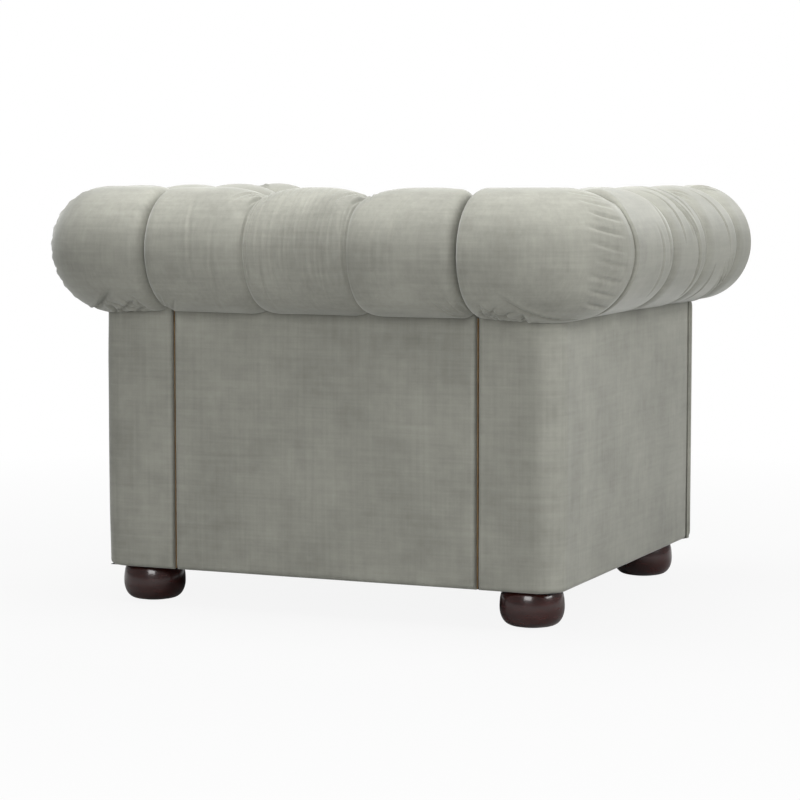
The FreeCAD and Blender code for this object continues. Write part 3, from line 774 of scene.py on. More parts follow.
@dataclass(frozen=True)
class Tufting:
    """Folds and buttons of one cover: pleats over the crest, diamonds inside, pleats to the seat."""

    knots: tuple[float, ...]
    rows: tuple[float, float, float]
    crest_depth: float = 0.020
    outer_depth: float = 0.0070
    inner_depth: float = 0.022
    crest_reach: float = 0.080
    outer_reach: float = 0.032
    inner_reach: float = 0.052
    crisp: float = 0.0058
    crisp_width: float = 0.0030
    pinch: float = 0.011
    pinch_reach: float = 0.016
    beyond: float = 0.45

    def pleats(self) -> tuple[float, ...]:
        """Pleats that cross the crest inside the cover."""
        return self.knots[1:-1]

    def middles(self) -> list[float]:
        """Places halfway between knots, where the second row of buttons lies."""
        return [(a + b) / 2.0 for a, b in zip(self.knots, self.knots[1:])]

    def folds(self) -> list[tuple[tuple[float, float], tuple[float, float]]]:
        """Straight stretches of fold between buttons and out to the edges."""
        top, middle, low = self.rows
        lines = []
        for pleat in self.pleats():
            lines.append(((pleat, -self.beyond), (pleat, top)))
            lines.append(((pleat, low), (pleat, self.beyond + low)))
        for knot, after in zip(self.knots, self.knots[1:]):
            half = (knot + after) / 2.0
            for end in (knot, after):
                lines.append(((end, top), (half, middle)))
                lines.append(((half, middle), (end, low)))
        return lines

    def buttons(self) -> list[tuple[float, float]]:
        """Places of the buttons."""
        top, middle, low = self.rows
        places = [(pleat, row) for pleat in self.pleats() for row in (top, low)]
        return places + [(half, middle) for half in self.middles()]

    def distance(self, a: np.ndarray, b: np.ndarray) -> np.ndarray:
        """Distance to the nearest fold, blended smoothly where two are as near."""
        total = np.zeros_like(a)
        for (a0, b0), (a1, b1) in self.folds():
            run = (a1 - a0, b1 - b0)
            share = np.clip(((a - a0) * run[0] + (b - b0) * run[1]) / (run[0] ** 2 + run[1] ** 2), 0.0, 1.0)
            away = np.hypot(a - a0 - share * run[0], b - b0 - share * run[1])
            total += 1.0 / (away + 0.0004) ** 6
        return total ** (-1.0 / 6.0)

    def depth(self, a: np.ndarray, b: np.ndarray) -> np.ndarray:
        """How far the padding is drawn in at each point."""
        near = self.distance(a, b)
        outside = smooth_step(-b, -0.015, 0.125)
        inside = smooth_step(b, 0.02, 0.16)
        valley = self.crest_depth + (self.outer_depth - self.crest_depth) * outside
        valley = valley + (self.inner_depth - self.crest_depth) * inside
        reach = self.crest_reach + (self.outer_reach - self.crest_reach) * outside
        reach = reach + (self.inner_reach - self.crest_reach) * inside
        soft = valley * (1.0 - np.clip(near / reach, 0.0, 1.0)) ** 2.1
        drawn = soft + self.crisp * (1.0 - 0.35 * outside) * np.exp(-near / self.crisp_width)
        for place, row in self.buttons():
            away = np.hypot(a - place, b - row)
            drawn += self.pinch * np.exp(-((away / self.pinch_reach) ** 2))
        return drawn


def end_roll(distance: np.ndarray, reach: np.ndarray | float) -> np.ndarray:
    """Depth of a padded end that turns down into a crease over its reach."""
    share = 1.0 - np.clip(distance / reach, 0.0, 1.0)
    return reach * (1.0 - np.sqrt(np.maximum(1.0 - share * share, 0.0)))


def stations(first: float, last: float, marks: Iterable[float], wide: float, fine: float) -> np.ndarray:
    """Places along a cover, closer together near its ends and pleats."""
    even = np.linspace(first, last, 4000)
    nearest = np.full_like(even, 1.0)
    for mark in (first, last, *marks):
        nearest = np.minimum(nearest, np.abs(even - mark))
    pitch = fine + (wide - fine) * smooth_step(nearest, 0.004, 0.018)
    walked = np.concatenate([[0.0], np.cumsum(np.diff(even) / pitch[1:])])
    return np.interp(np.linspace(0.0, walked[-1], int(walked[-1]) + 1), walked, even)


def ripple(a: np.ndarray, b: np.ndarray, height: float, seed: int) -> np.ndarray:
    """Gentle unevenness of hand-stuffed padding."""
    rng = np.random.default_rng(seed)
    total = np.zeros_like(a)
    for _ in range(7):
        wave = rng.uniform(9.0, 24.0)
        turn = rng.uniform(0.0, math.pi)
        total += np.sin(2.0 * wave * (a * math.cos(turn) + b * math.sin(turn)) + rng.uniform(0.0, 6.28))
    return height * total / 7.0


@dataclass
class Cover:
    """A padded cover drawn as one grid of sections."""

    section: Section
    tufting: Tufting
    first: float
    last: float
    creases: list[Crease]
    seed: int
    wide: float = 0.0027
    fine: float = 0.0013
    around: float = 0.0034
    end_reach_crest: float = 0.022
    end_reach_outer: float = 0.016
    wave: float = 0.0011

    def reach(self, b: np.ndarray, first: bool) -> np.ndarray:
        """How far from an end the cover starts to turn down."""
        outside = smooth_step(-b, 0.0, 0.12)
        return self.end_reach_crest + (self.end_reach_outer - self.end_reach_crest) * outside

    def depth(self, a: np.ndarray, b: np.ndarray) -> np.ndarray:
        """Whole depth: tufts, creases, unevenness and the two ends."""
        drawn = self.tufting.depth(a, b) + ripple(a, b, self.wave, self.seed)
        for crease in self.creases:
            drawn += crease.press(a, b)
        drawn += end_roll(a - self.first, self.reach(b, True))
        return drawn + end_roll(self.last - a, self.reach(b, False))

    def place(self, a: np.ndarray, b: np.ndarray, u: np.ndarray, z: np.ndarray) -> np.ndarray:
        """Put points of the section in space."""
        raise NotImplementedError

    def surface(self, a: np.ndarray, b: np.ndarray) -> np.ndarray:
        """Points of the finished surface at places of the unrolled plane."""
        line, normals, walked = self.section.visible(self.around)
        drawn = self.depth(a, b)
        base = [np.interp(b, walked, line[:, axis]) for axis in (0, 1)]
        out = [np.interp(b, walked, normals[:, axis]) for axis in (0, 1)]
        return self.place(a, b, base[0] - out[0] * drawn, base[1] - out[1] * drawn)

    def rings(self) -> np.ndarray:
        """All rings of the cover, each closed through the hidden inside."""
        line, normals, walked = self.section.visible(self.around)
        stops = stations(self.first, self.last, self.tufting.pleats(), self.wide, self.fine)
        a, b = np.meshgrid(stops, walked, indexing="ij")
        drawn = self.depth(a, b)
        shown = self.place(a, b, line[:, 0] - normals[:, 0] * drawn, line[:, 1] - normals[:, 1] * drawn)
        hidden = self.section.hidden(line[0], line[-1])
        a, u = np.meshgrid(stops, hidden[:, 0], indexing="ij")
        z = np.broadcast_to(hidden[:, 1], a.shape)
        closing = self.place(a, np.full_like(a, walked[-1]), u, z)
        return np.concatenate([shown, closing], axis=1)

    def button_seats(self) -> tuple[np.ndarray, np.ndarray]:
        """Centres of the buttons and the way that each one looks."""
        spots = np.array(self.tufting.buttons())
        inside = (spots[:, 0] > self.first + 0.01) & (spots[:, 0] < self.last - 0.02)
        a, b = spots[inside, 0], spots[inside, 1]
        delta = 0.03
        along = self.surface(a + delta, b) - self.surface(a - delta, b)
        around = self.surface(a, b + delta) - self.surface(a, b - delta)
        facing = np.cross(along, around)
        facing /= np.linalg.norm(facing, axis=1)[:, None]
        centre = self.surface(a, b)
        flip = np.sign(((self.outside(a, b) - centre) * facing).sum(axis=1))
        return centre, facing * flip[:, None]

    def outside(self, a: np.ndarray, b: np.ndarray) -> np.ndarray:
        """Points a little outside the cover, to tell its two sides apart."""
        line, normals, walked = self.section.visible(self.around)
        base = [np.interp(b, walked, line[:, axis]) for axis in (0, 1)]
        out = [np.interp(b, walked, normals[:, axis]) for axis in (0, 1)]
        return self.place(a, b, base[0] + 0.05 * out[0], base[1] + 0.05 * out[1])


@dataclass
class ArmCover(Cover):
    """Cover of an arm from its front end to the seam behind it; a counts forwards from the back panel."""

    places: Places = None
    seam_shift: float = 0.032
    first_pleat: float = 0.275

    def place(self, a: np.ndarray, b: np.ndarray, u: np.ndarray, z: np.ndarray) -> np.ndarray:
        """Left arm; low on the outer side the cover reaches further back than at the crest."""
        share = np.clip((self.first_pleat - a) / (self.first_pleat - self.first), 0.0, 1.0)
        back = a - self.seam_shift * share * smooth_step(-b, 0.03, 0.12)
        u = np.broadcast_to(u, a.shape)
        z = np.broadcast_to(z, a.shape)
        return np.stack([u, self.places.rear - back, z], axis=-1)

    def reach(self, b: np.ndarray, first: bool) -> np.ndarray:
        """The rear seam is shallow on the outer side, and the front end turns down sharply."""
        if not first:
            return np.full_like(b, 0.006)
        outside = smooth_step(-b, 0.0, 0.10)
        return self.end_reach_crest + (0.0045 - self.end_reach_crest) * outside


@dataclass
class BackCover(Cover):
    """Cover of the back; a runs from right to left, and the ends lean out to meet the arms inside."""

    arm: Section = None
    tuck: float = 0.018

    def place(self, a: np.ndarray, b: np.ndarray, u: np.ndarray, z: np.ndarray) -> np.ndarray:
        """Across the back."""
        z = np.broadcast_to(z, a.shape)
        lean = (self.arm.face(z) + self.tuck - self.last) * smooth_step(b, 0.03, 0.15)
        x = a * (1.0 + np.maximum(lean, 0.0) / self.last)
        return np.stack([x, np.broadcast_to(u, a.shape), z], axis=-1)


@dataclass
class RearCorner:
    """The roll's turn from an arm to the back, with a short straight run to the back's crease."""

    places: Places
    section: Section
    pivot: tuple[float, float]
    run: float
    creases: list[Crease]
    seed: int
    seam_drop: float = 0.0042
    valley: float = 0.021
    bulge: float = 0.006
    inner: float = 0.004
    crease_height: float = 0.640
    joint_reach: float = 0.024
    step: float = 0.0026

    def profile(self) -> tuple[np.ndarray, np.ndarray, np.ndarray]:
        """Visible points (radius from the pivot, z), their normals and distance from the crest."""
        radius = self.section.radius
        centre = self.section.wall_top + radius
        turns = np.radians(np.linspace(self.section.start_turn, 90.0, 200))
        outer = np.stack([radius + radius * np.cos(turns), centre + radius * np.sin(turns)], 1)
        quarter = np.linspace(0.0, math.pi / 2.0, 140)[1:]
        share = 2.0 / self.section.fullness
        across = radius - (radius - self.inner) * np.sin(quarter) ** share
        rise = centre + radius - self.crease_height
        inner = np.stack([across, self.crease_height + rise * np.maximum(np.cos(quarter), 0.0) ** share], 1)
        line = spaced(np.concatenate([outer, inner]), 0.0034)
        tangent = np.gradient(line, axis=0)
        tangent /= np.linalg.norm(tangent, axis=1)[:, None]
        walked = np.concatenate([[0.0], np.cumsum(np.linalg.norm(np.diff(line, axis=0), axis=1))])
        crest_at = radius * math.radians(90.0 - self.section.start_turn)
        return line, np.stack([tangent[:, 1], -tangent[:, 0]], 1), walked - crest_at

    def rings(self) -> np.ndarray:
        """Rings of the left corner, from the arm's seam to the back's crease."""
        line, normals, walked = self.profile()
        radius = self.section.radius
        turn_length = radius * math.pi / 2.0
        total = turn_length + self.run
        stops = stations(0.0, total, (), self.step, 0.0014)
        a, b = np.meshgrid(stops, walked, indexing="ij")
        outside = smooth_step(-b, 0.0, 0.12)
        drawn = ripple(a, b, 0.0012, self.seed)
        drawn += self.seam_drop * outside * (1.0 - smooth_step(a, 0.018, 0.034))
        drawn += self.valley * (1.0 - outside) * (1.0 - np.clip(a / 0.062, 0.0, 1.0)) ** 2.0
        swell = np.sin(np.clip(a / turn_length, 0, 1) * math.pi) ** 2
        drawn -= self.bulge * smooth_step(-b, -0.02, 0.1) * swell
        drawn += end_roll(total - a, self.joint_reach)
        for crease in self.creases:
            drawn += crease.press(a, b)
        reach = line[:, 0] - normals[:, 0] * drawn
        z = line[:, 1] - normals[:, 1] * drawn
        shown = self.turned(a, reach, z, turn_length)
        wall_top = self.section.wall_top
        hidden = np.array([[self.inner, wall_top + 0.03], [0.06, wall_top + 0.004]])
        a, u = np.meshgrid(stops, hidden[:, 0], indexing="ij")
        closing = self.turned(a, u, np.broadcast_to(hidden[:, 1], a.shape), turn_length)
        return np.concatenate([shown, closing], axis=1)

    def turned(self, a: np.ndarray, reach: np.ndarray, z: np.ndarray, turn_length: float) -> np.ndarray:
        """Put points at a distance from the pivot, round the turn and then straight on."""
        angle = np.clip(a / turn_length, 0.0, 1.0) * math.pi / 2.0
        straight = np.maximum(a - turn_length, 0.0)
        x = self.pivot[0] + reach * np.cos(angle) - straight
        y = self.pivot[1] + reach * np.sin(angle)
        return np.stack([x, y, z], axis=-1)


@dataclass
class RollFront:
    """Front end of an arm roll: cloth gathered in folds round a covered rosette."""

    centre: tuple[float, float]
    radius: float
    front: float
    rounding: float = 0.028
    back: float = 0.052
    folds: int = 20
    sides: int = 360
    fold_depth: float = 0.0042
    dish: float = 0.006

    def rings(self) -> np.ndarray:
        """Rings from the hidden rear edge to the middle of the disc."""
        profile = [(self.radius - 0.010, self.back)]
        profile += [(self.radius - 0.0015, self.back - 0.008), (self.radius - 0.001, self.rounding)]
        for turn in np.linspace(0.0, math.pi / 2.0, 26)[1:]:
            profile.append(
                (
                    self.radius - 0.001 - self.rounding * (1.0 - math.cos(turn)),
                    self.rounding * (1.0 - math.sin(turn)),
                )
            )
        flat = self.radius - self.rounding - 0.001
        profile += [(flat * share, 0.0) for share in np.linspace(1.0, 0.06, 34)[1:]]
        line = np.array(profile)
        turns = np.linspace(0.0, 2.0 * math.pi, self.sides, endpoint=False)
        radius, turn = np.meshgrid(line[:, 0], turns, indexing="ij")
        depth = np.broadcast_to(line[:, 1][:, None], radius.shape)
        inward = 1.0 - radius / self.radius
        waves = np.abs(np.sin(self.folds * turn / 2.0 + 0.35 * np.sin(3.0 * turn) + 0.5 * inward)) ** 0.8
        press = self.fold_depth * (1.0 - waves) * smooth_step(inward, 0.02, 0.30)
        press = press + self.dish * smooth_step(inward, 0.30, 0.75)
        y = self.front + depth + press
        return np.stack(
            [self.centre[0] + radius * np.cos(turn), y, self.centre[1] + radius * np.sin(turn)], axis=-1
        )


def rosette_rings(radius: float, height: float, folds: int) -> np.ndarray:
    """Gathered rosette about Z, its back in the plane of zero, its face up, with a button in the middle."""
    shares = np.concatenate([np.linspace(0.94, 1.0, 4), np.linspace(0.99, 0.34, 26)])
    rise = np.concatenate([[-0.25, 0.0, 0.25, 0.5], 0.5 + 0.5 * np.sin(np.linspace(0.1, 1.5, 26))])
    turns = np.linspace(0.0, 2.0 * math.pi, 12 * folds, endpoint=False)
    share, turn = np.meshgrid(shares, turns, indexing="ij")
    lift = np.broadcast_to(rise[:, None], share.shape)
    gather = 0.11 * (np.abs(np.sin(folds * turn / 2.0)) - 0.6) * smooth_step(1.0 - share, -0.05, 0.25)
    across = radius * share
    rings = [np.stack([across * np.cos(turn), across * np.sin(turn), height * (lift + gather)], -1)]
    button = 0.34 * radius
    for part in np.linspace(0.0, 0.97, 12):
        width = button * math.sqrt(1.0 - part * part)
        level = height * (0.80 + 0.62 * part)
        rings.append(
            np.stack([width * np.cos(turns), width * np.sin(turns), np.full(len(turns), level)], -1)[None]
        )
    return np.concatenate(rings)


def turned_to_front(rings: np.ndarray, centre: tuple[float, float, float]) -> np.ndarray:
    """Turn a shape that looks up so that it looks forwards, at its own place."""
    across, up, out = (rings[..., axis] for axis in range(3))
    return np.stack([across + centre[0], centre[1] - out, up + centre[2]], axis=-1)


# Upholstered boards


@dataclass
class Panel:
    """Upholstered board drawn over a path: its front is padded and its edges are rounded."""

    path: np.ndarray
    outward: np.ndarray
    low: float
    high: float
    thickness: float
    rounding: float = 0.007
    puff: float = 0.0022
    step: float = 0.005
    tautness: float = 0.0004
    seed: int = 3
    slant: float = 0.0
    slant_from: float = 0.395

    def slanted(self, x: np.ndarray, z: np.ndarray, left: float, right: float) -> np.ndarray:
        """How far the left edge leans in, from nothing at slant_from to the whole slant at the top."""
        rise = np.clip((z - self.slant_from) / (self.high - self.slant_from), 0.0, 1.0)
        return self.slant * rise * (right - x) / (right - left)

    def front(self) -> tuple[np.ndarray, np.ndarray]:
        """Front points and the outward direction at each of them."""
        lengths = np.concatenate([[0.0], np.cumsum(np.linalg.norm(np.diff(self.path, axis=0), axis=1))])
        along = stations(0.0, lengths[-1], (), self.step, 0.0012)
        up = stations(self.low, self.high, (), self.step, 0.0012)
        place = np.stack([np.interp(along, lengths, self.path[:, axis]) for axis in (0, 1)], 1)
        out = np.stack([np.interp(along, lengths, self.outward[:, axis]) for axis in (0, 1)], 1)
        s, z = np.meshgrid(along, up, indexing="ij")
        side = np.minimum(s, lengths[-1] - s)
        ends = np.minimum(z - self.low, self.high - z)
        drop = end_roll(side, self.rounding) + end_roll(ends, self.rounding)
        pillow = smooth_step(side, 0.0, 0.11) * smooth_step(ends, 0.0, 0.11)
        lift = self.puff * pillow - np.minimum(drop, self.rounding) + ripple(s, z, self.tautness, self.seed)
        shape = (len(along), len(up))
        x = np.broadcast_to(place[:, 0][:, None], shape) + out[:, 0][:, None] * lift
        y = np.broadcast_to(place[:, 1][:, None], shape) + out[:, 1][:, None] * lift
        if self.slant:
            x = x + self.slanted(x, z, float(self.path[0, 0]), float(self.path[-1, 0]))
        direction = np.broadcast_to(out[:, None, :], (*shape, 2))
        return np.stack([x, y, z], axis=-1), direction

    def build(self, name: str, side: Side = Side.LEFT) -> bpy.types.Object:
        """Close the board with edges and a back."""
        front, direction = self.front()
        grid, faces, border = Skin.grid(*front.shape[:2])
        flat = front.reshape(-1, 3)
        back = flat[border].copy()
        back[:, :2] -= direction.reshape(-1, 2)[border] * (self.thickness - self.rounding)
        points = np.concatenate([flat, back])
        behind = dict(zip(border, range(len(flat), len(points))))
        for here, there in zip(border, border[1:] + border[:1]):
            faces.append((there, here, behind[here], behind[there]))
        faces += self.rear_faces(grid, behind)
        return Skin.build(name, Skin.mirrored(points, side), faces)

    @staticmethod
    def rear_faces(grid: np.ndarray, behind: dict[int, int]) -> list[tuple[int, ...]]:
        """Back of the board in upright strips, whose first and last carry the points of the short ends."""
        low = [behind[int(row[0])] for row in grid]
        high = [behind[int(row[-1])] for row in grid]
        faces = []
        for index in range(1, len(low) - 2):
            faces.append((low[index], low[index + 1], high[index + 1], high[index]))
        near = [behind[int(point)] for point in grid[0]]
        far = [behind[int(point)] for point in grid[-1]]
        faces.append((low[1], high[1], *reversed(near)))
        faces.append((high[-2], low[-2], *far))
        return faces


def bent_path(corners: Sequence[tuple[float, float]], radius: float, step: float) -> np.ndarray:
    """Plan path through corners, with the middle ones rounded."""
    points: list[np.ndarray] = [np.array(corners[0])]
    for before, here, after in zip(corners, corners[1:], corners[2:]):
        turn = np.array(here)
        into = (turn - before) / np.linalg.norm(turn - np.array(before))
        away = (np.array(after) - turn) / np.linalg.norm(np.array(after) - turn)
        centre = turn - into * radius + away * radius
        for angle in np.linspace(0.0, math.pi / 2.0, 24):
            points.append(centre - away * radius * math.cos(angle) + into * radius * math.sin(angle))
    points.append(np.array(corners[-1]))
    return spaced(np.array(points), step)


def rounded_loop(
    low: tuple[float, float], high: tuple[float, float], turn: float, count: int
) -> np.ndarray:
    """Points of a rectangle with rounded corners, a number of them to each corner."""
    loop = []
    for across, up, start in (
        (high[0] - turn, low[1] + turn, -90.0),
        (high[0] - turn, high[1] - turn, 0.0),
        (low[0] + turn, high[1] - turn, 90.0),
        (low[0] + turn, low[1] + turn, 180.0),
    ):
        for angle in np.radians(np.linspace(start, start + 90.0, count)):
            loop.append((across + turn * math.cos(angle), up + turn * math.sin(angle)))
    return np.array(loop)


def left_of(path: np.ndarray) -> np.ndarray:
    """Direction to the left of a plan path at each point."""
    tangent = np.gradient(path, axis=0)
    tangent /= np.linalg.norm(tangent, axis=1)[:, None]
    return np.stack([-tangent[:, 1], tangent[:, 0]], axis=1)


# Sub-assemblies


class Shop:
    """Finishes pieces: gives each the material of its slot and its body, and hides the nodes that it stands
    for.
    """

    def __init__(self, materials: dict[Slot, bpy.types.Material]) -> None:
        """Keep the materials."""
        self.materials = materials
        self.count = 0

    def hand_over(
        self,
        piece: bpy.types.Object,
        slot: Slot,
        stands_for: Sequence[str] = (),
        body: str = CHAIR,
        fill: float | None = None,
    ) -> bpy.types.Object:
        """Dress a finished piece and tie it to the frame.

        Args:
            piece: the object, in its place.
            slot: the record's slot of its finish.
            stands_for: CAD nodes that it replaces.
            body: the body that it rides on.
            fill: how tight its stuffing is, for a padded piece; not used.

        Returns:
            The same object.
        """
        piece.data.materials.clear()
        piece.data.materials.append(self.materials[slot])
        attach(piece, body)
        if stands_for:
            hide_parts(*stands_for)
        self.count += 1
        log.info("piece %s: %d faces on %s", piece.name, len(piece.data.polygons), body)
        return piece


@dataclass
class Upholstery:
    """Padded rolls and insides: both arms, the back, the rear corners and the front ends."""

    places: Places
    shop: Shop
    rows: tuple[float, float, float] = (0.036, 0.206, 0.316)
    arm_pleats: tuple[float, ...] = (0.0945, 0.275, 0.472, 0.659, 0.846)
    arm_front: float = 0.742
    back_pleat: float = 0.095
    back_half: float = 0.285
    row_height: float = 0.609
    seat_height: float = 0.395
    arm_row_lean: float = 0.028
    back_row_lean: float = 0.088
    back_depth: float = 0.211
    pad_foot: float = 0.254
    fold_gain: float = 2.3
    button_radius: float = 0.0112
    button_height: float = 0.0068
    button_lift: float = 0.0035
    roll_radius: float = 0.108

    def deepened(self, folds: Sequence[Crease]) -> list[Crease]:
        """The same folds, pressed in deeper."""
        return [replace(fold, depth=fold.depth * self.fold_gain) for fold in folds]

    def arm_section(self) -> Section:
        """Section of an arm."""
        return Section(
            crest=self.places.roll_side - self.roll_radius,
            row=self.places.seat_half + self.arm_row_lean,
            seat=self.places.seat_half,
            wall_top=self.places.wall_top,
            radius=self.roll_radius,
            row_height=self.row_height,
            seat_height=self.seat_height,
            foot=self.pad_foot,
        )

    def back_section(self) -> Section:
        """Section of the back."""
        face = self.places.rear - self.back_depth
        return replace(
            self.arm_section(),
            crest=self.places.roll_rear - self.roll_radius,
            row=face + self.back_row_lean,
            seat=face,
        )

    def arm_creases(self) -> list[Crease]:
        """Stretch folds on the outer side of an arm, as the cloth runs to its pleats."""
        long_pull = dict(depth=0.0020, width=0.0030)
        folds = [
            Crease((0.345, -0.02), (0.375, -0.15), bow=0.006, **long_pull),
            Crease((0.352, -0.075), (0.430, -0.275), bow=0.012, **long_pull),
            Crease((0.372, -0.060), (0.412, -0.230), bow=0.008, **long_pull),
            Crease((0.398, -0.030), (0.414, -0.120), bow=0.003, depth=0.0014, width=0.0024),
            Crease((0.310, -0.030), (0.326, -0.160), bow=0.004, depth=0.0016, width=0.0026),
            Crease((0.440, -0.050), (0.452, -0.200), bow=-0.004, depth=0.0014, width=0.0026),
            Crease((0.484, -0.020), (0.492, -0.075), bow=0.002, depth=0.0020, width=0.0024),
            Crease((0.495, -0.016), (0.508, -0.060), bow=0.002, depth=0.0016, width=0.0022),
            Crease((0.556, -0.040), (0.598, -0.190), bow=0.006, depth=0.0014, width=0.0030),
            Crease((0.520, -0.200), (0.530, -0.300), bow=0.003, depth=0.0012, width=0.0028),
            Crease((0.200, -0.120), (0.214, -0.260), bow=0.004, depth=0.0009, width=0.0032),
            Crease((0.240, -0.060), (0.246, -0.200), bow=-0.003, depth=0.0008, width=0.0030),
        ]
        folds += Fan((0.654, -0.345), 118.0, 103.0, 5, 0.165, 0.20, 0.0026, 0.0026, -0.006).creases()
        folds += Fan((0.664, 0.020), -78.0, -40.0, 5, 0.085, 0.22, 0.0024, 0.0022).creases()
        folds += Fan((0.468, 0.020), -82.0, -104.0, 3, 0.07, 0.25, 0.0016, 0.0022).creases()
        return folds

    def inside_creases(self, tufting: Tufting) -> list[Crease]:
        """Short pulls round every button."""
        folds = []
        for index, (place, row) in enumerate(tufting.buttons()):
            for turn in range(5):
                angle = math.radians(72.0 * turn + 31.0 * index)
                way = (math.cos(angle), math.sin(angle))
                start = (place + 0.010 * way[0], row + 0.010 * way[1])
                end = (place + 0.040 * way[0], row + 0.040 * way[1])
                folds.append(Crease(start, end, 0.0016, 0.0024))
        return folds

    def back_creases(self) -> list[Crease]:
        """Gathers on the outer side of the back, closest on the middle channel."""
        rng = np.random.default_rng(11)
        folds = []
        for index in range(25):
            place = -0.088 + 0.0073 * index + float(rng.uniform(-0.002, 0.002))
            top = 0.010 - float(rng.uniform(0.0, 0.09))
            end = -0.13 - float(rng.uniform(0.0, 0.18))
            slant = float(rng.uniform(-0.006, 0.010))
            folds.append(Crease((place, top), (place + slant, end), 0.0011, 0.0019, bow=0.003))
        folds += Fan((-0.280, -0.34), 98.0, 62.0, 5, 0.10, 0.2, 0.0020, 0.0024).creases()
        folds += Fan((0.280, -0.34), 82.0, 118.0, 5, 0.09, 0.2, 0.0018, 0.0024).creases()
        folds += Fan((0.095, 0.030), -70.0, -112.0, 6, 0.11, 0.2, 0.0018, 0.0022).creases()
        folds += Fan((-0.095, 0.030), -70.0, -112.0, 6, 0.10, 0.2, 0.0018, 0.0022).creases()
        folds += [
            Crease((-0.190, -0.04), (-0.176, -0.22), 0.0009, 0.0030, 0.004),
            Crease((0.205, -0.05), (0.190, -0.24), 0.0009, 0.0030, -0.004),
            Crease((-0.150, -0.09), (-0.146, -0.28), 0.0008, 0.0028, 0.003),
            Crease((0.150, -0.12), (0.160, -0.30), 0.0008, 0.0028, -0.003),
        ]
        return folds

    def corner_creases(self) -> list[Crease]:
        """Gathers behind the arm's seam and crescent folds under the turn."""
        folds = []
        for index in range(9):
            b = -0.055 - 0.026 * index
            start = (0.078 - 0.003 * (index % 3), b + 0.012)
            folds.append(Crease(start, (0.034, b - 0.006), 0.0018, 0.0028, 0.002))
        folds += [
            Crease((0.060, -0.300), (0.155, -0.235), 0.0034, 0.0030, -0.020),
            Crease((0.085, -0.325), (0.180, -0.262), 0.0030, 0.0028, -0.016),
            Crease((0.120, -0.335), (0.190, -0.290), 0.0026, 0.0026, -0.010),
            Crease((0.128, -0.338), (0.134, -0.285), 0.0032, 0.0028, 0.002),
        ]
        folds += Fan((0.188, -0.340), 96.0, 128.0, 5, 0.085, 0.15, 0.0024, 0.0024).creases()
        folds += Fan((0.165, 0.150), -92.0, -130.0, 4, 0.09, 0.2, 0.0018, 0.0026).creases()
        return folds

    def arm_cover(self) -> ArmCover:
        """Cover of the left arm."""
        tufting = Tufting(self.arm_pleats, self.rows)
        return ArmCover(
            section=self.arm_section(),
            tufting=tufting,
            first=self.arm_pleats[0],
            last=self.arm_front,
            creases=self.deepened(self.arm_creases() + self.inside_creases(tufting)),
            seed=5,
            places=self.places,
        )

    def back_cover(self) -> BackCover:
        """Cover of the back."""
        tufting = Tufting((-self.back_half, -self.back_pleat, self.back_pleat, self.back_half), self.rows)
        return BackCover(
            section=self.back_section(),
            tufting=tufting,
            first=-self.back_half,
            last=self.back_half,
            creases=self.deepened(self.back_creases() + self.inside_creases(tufting)),
            seed=8,
            end_reach_outer=0.022,
            arm=self.arm_section(),
        )

    def rear_corner(self) -> RearCorner:
        """Left rear corner of the roll."""
        width = 2.0 * self.roll_radius
        pivot = (self.places.roll_side - width, self.places.roll_rear - width)
        return RearCorner(
            places=self.places,
            section=self.arm_section(),
            pivot=pivot,
            run=pivot[0] - self.back_half - 0.001,
            creases=self.deepened(self.corner_creases()),
            seed=21,
        )

    def button_shape(self) -> bpy.types.Object:
        """Covered button about Z: a low dome with a rolled edge."""
        radius, height = self.button_radius, self.button_height
        profile = [(0.55 * radius, -0.25 * height), (0.96 * radius, -0.10 * height)]
        profile.append((radius, 0.16 * height))
        for part in np.linspace(0.25, 0.985, 7):
            profile.append((radius * math.sqrt(1.0 - part**2.6), height * (0.16 + 0.84 * part)))
        return Skin.tube("button_shape", Skin.lathe(profile, 20))

    def build(self) -> None:
        """Make and hand over every padded piece of the rolls."""
        arm, back, corner = self.arm_cover(), self.back_cover(), self.rear_corner()
        arm_rings, corner_rings = arm.rings(), corner.rings()
        centre = (arm.section.crest, self.places.wall_top + self.roll_radius)
        front = RollFront(centre, self.roll_radius, self.places.roll_front).rings()
        shape = self.button_shape()
        buttons = Scatter("buttons", shape, self.shop.materials[Slot.VELVET])
        seats, facing = arm.button_seats()
        lifted = seats + facing * self.button_lift
        for side in Side:
            word = side.word
            cover = Skin.tube(f"{word}_arm_velvet", Skin.mirrored(arm_rings, side))
            self.shop.hand_over(cover, Slot.VELVET, [f"{word}_arm_cover"], fill=0.8)
            turn = Skin.tube(f"{word}_rear_corner_velvet", Skin.mirrored(corner_rings, side))
            self.shop.hand_over(turn, Slot.VELVET, [f"{word}_arm_cover"], fill=0.8)
            end = Skin.tube(f"{word}_roll_front_velvet", Skin.mirrored(front, side))
            self.shop.hand_over(end, Slot.VELVET, [f"{word}_arm_cover"], fill=0.8)
            placed = buttons.over(
                f"{word}_tuft_buttons", Skin.mirrored(lifted, side), Skin.mirrored(facing, side), 0.7
            )
            self.shop.hand_over(placed, Slot.VELVET, [f"{word}_arm_buttons"])
            rings = rosette_rings(0.036, 0.0075, 24)
            middle = (centre[0], self.places.roll_front + 0.0065, centre[1])
            rosette = Skin.tube(f"{word}_rosette", Skin.mirrored(turned_to_front(rings, middle), side))
            self.shop.hand_over(rosette, Slot.VELVET, [f"{word}_arm_rosette"])
        cover = Skin.tube("back_velvet", back.rings())
        self.shop.hand_over(cover, Slot.VELVET, ["back_cover"], fill=0.8)
        seats, facing = back.button_seats()
        placed = buttons.over("back_tuft_buttons", seats + facing * self.button_lift, facing, 0.7)
        self.shop.hand_over(placed, Slot.VELVET, ["back_buttons"])
        bpy.data.objects.remove(shape)


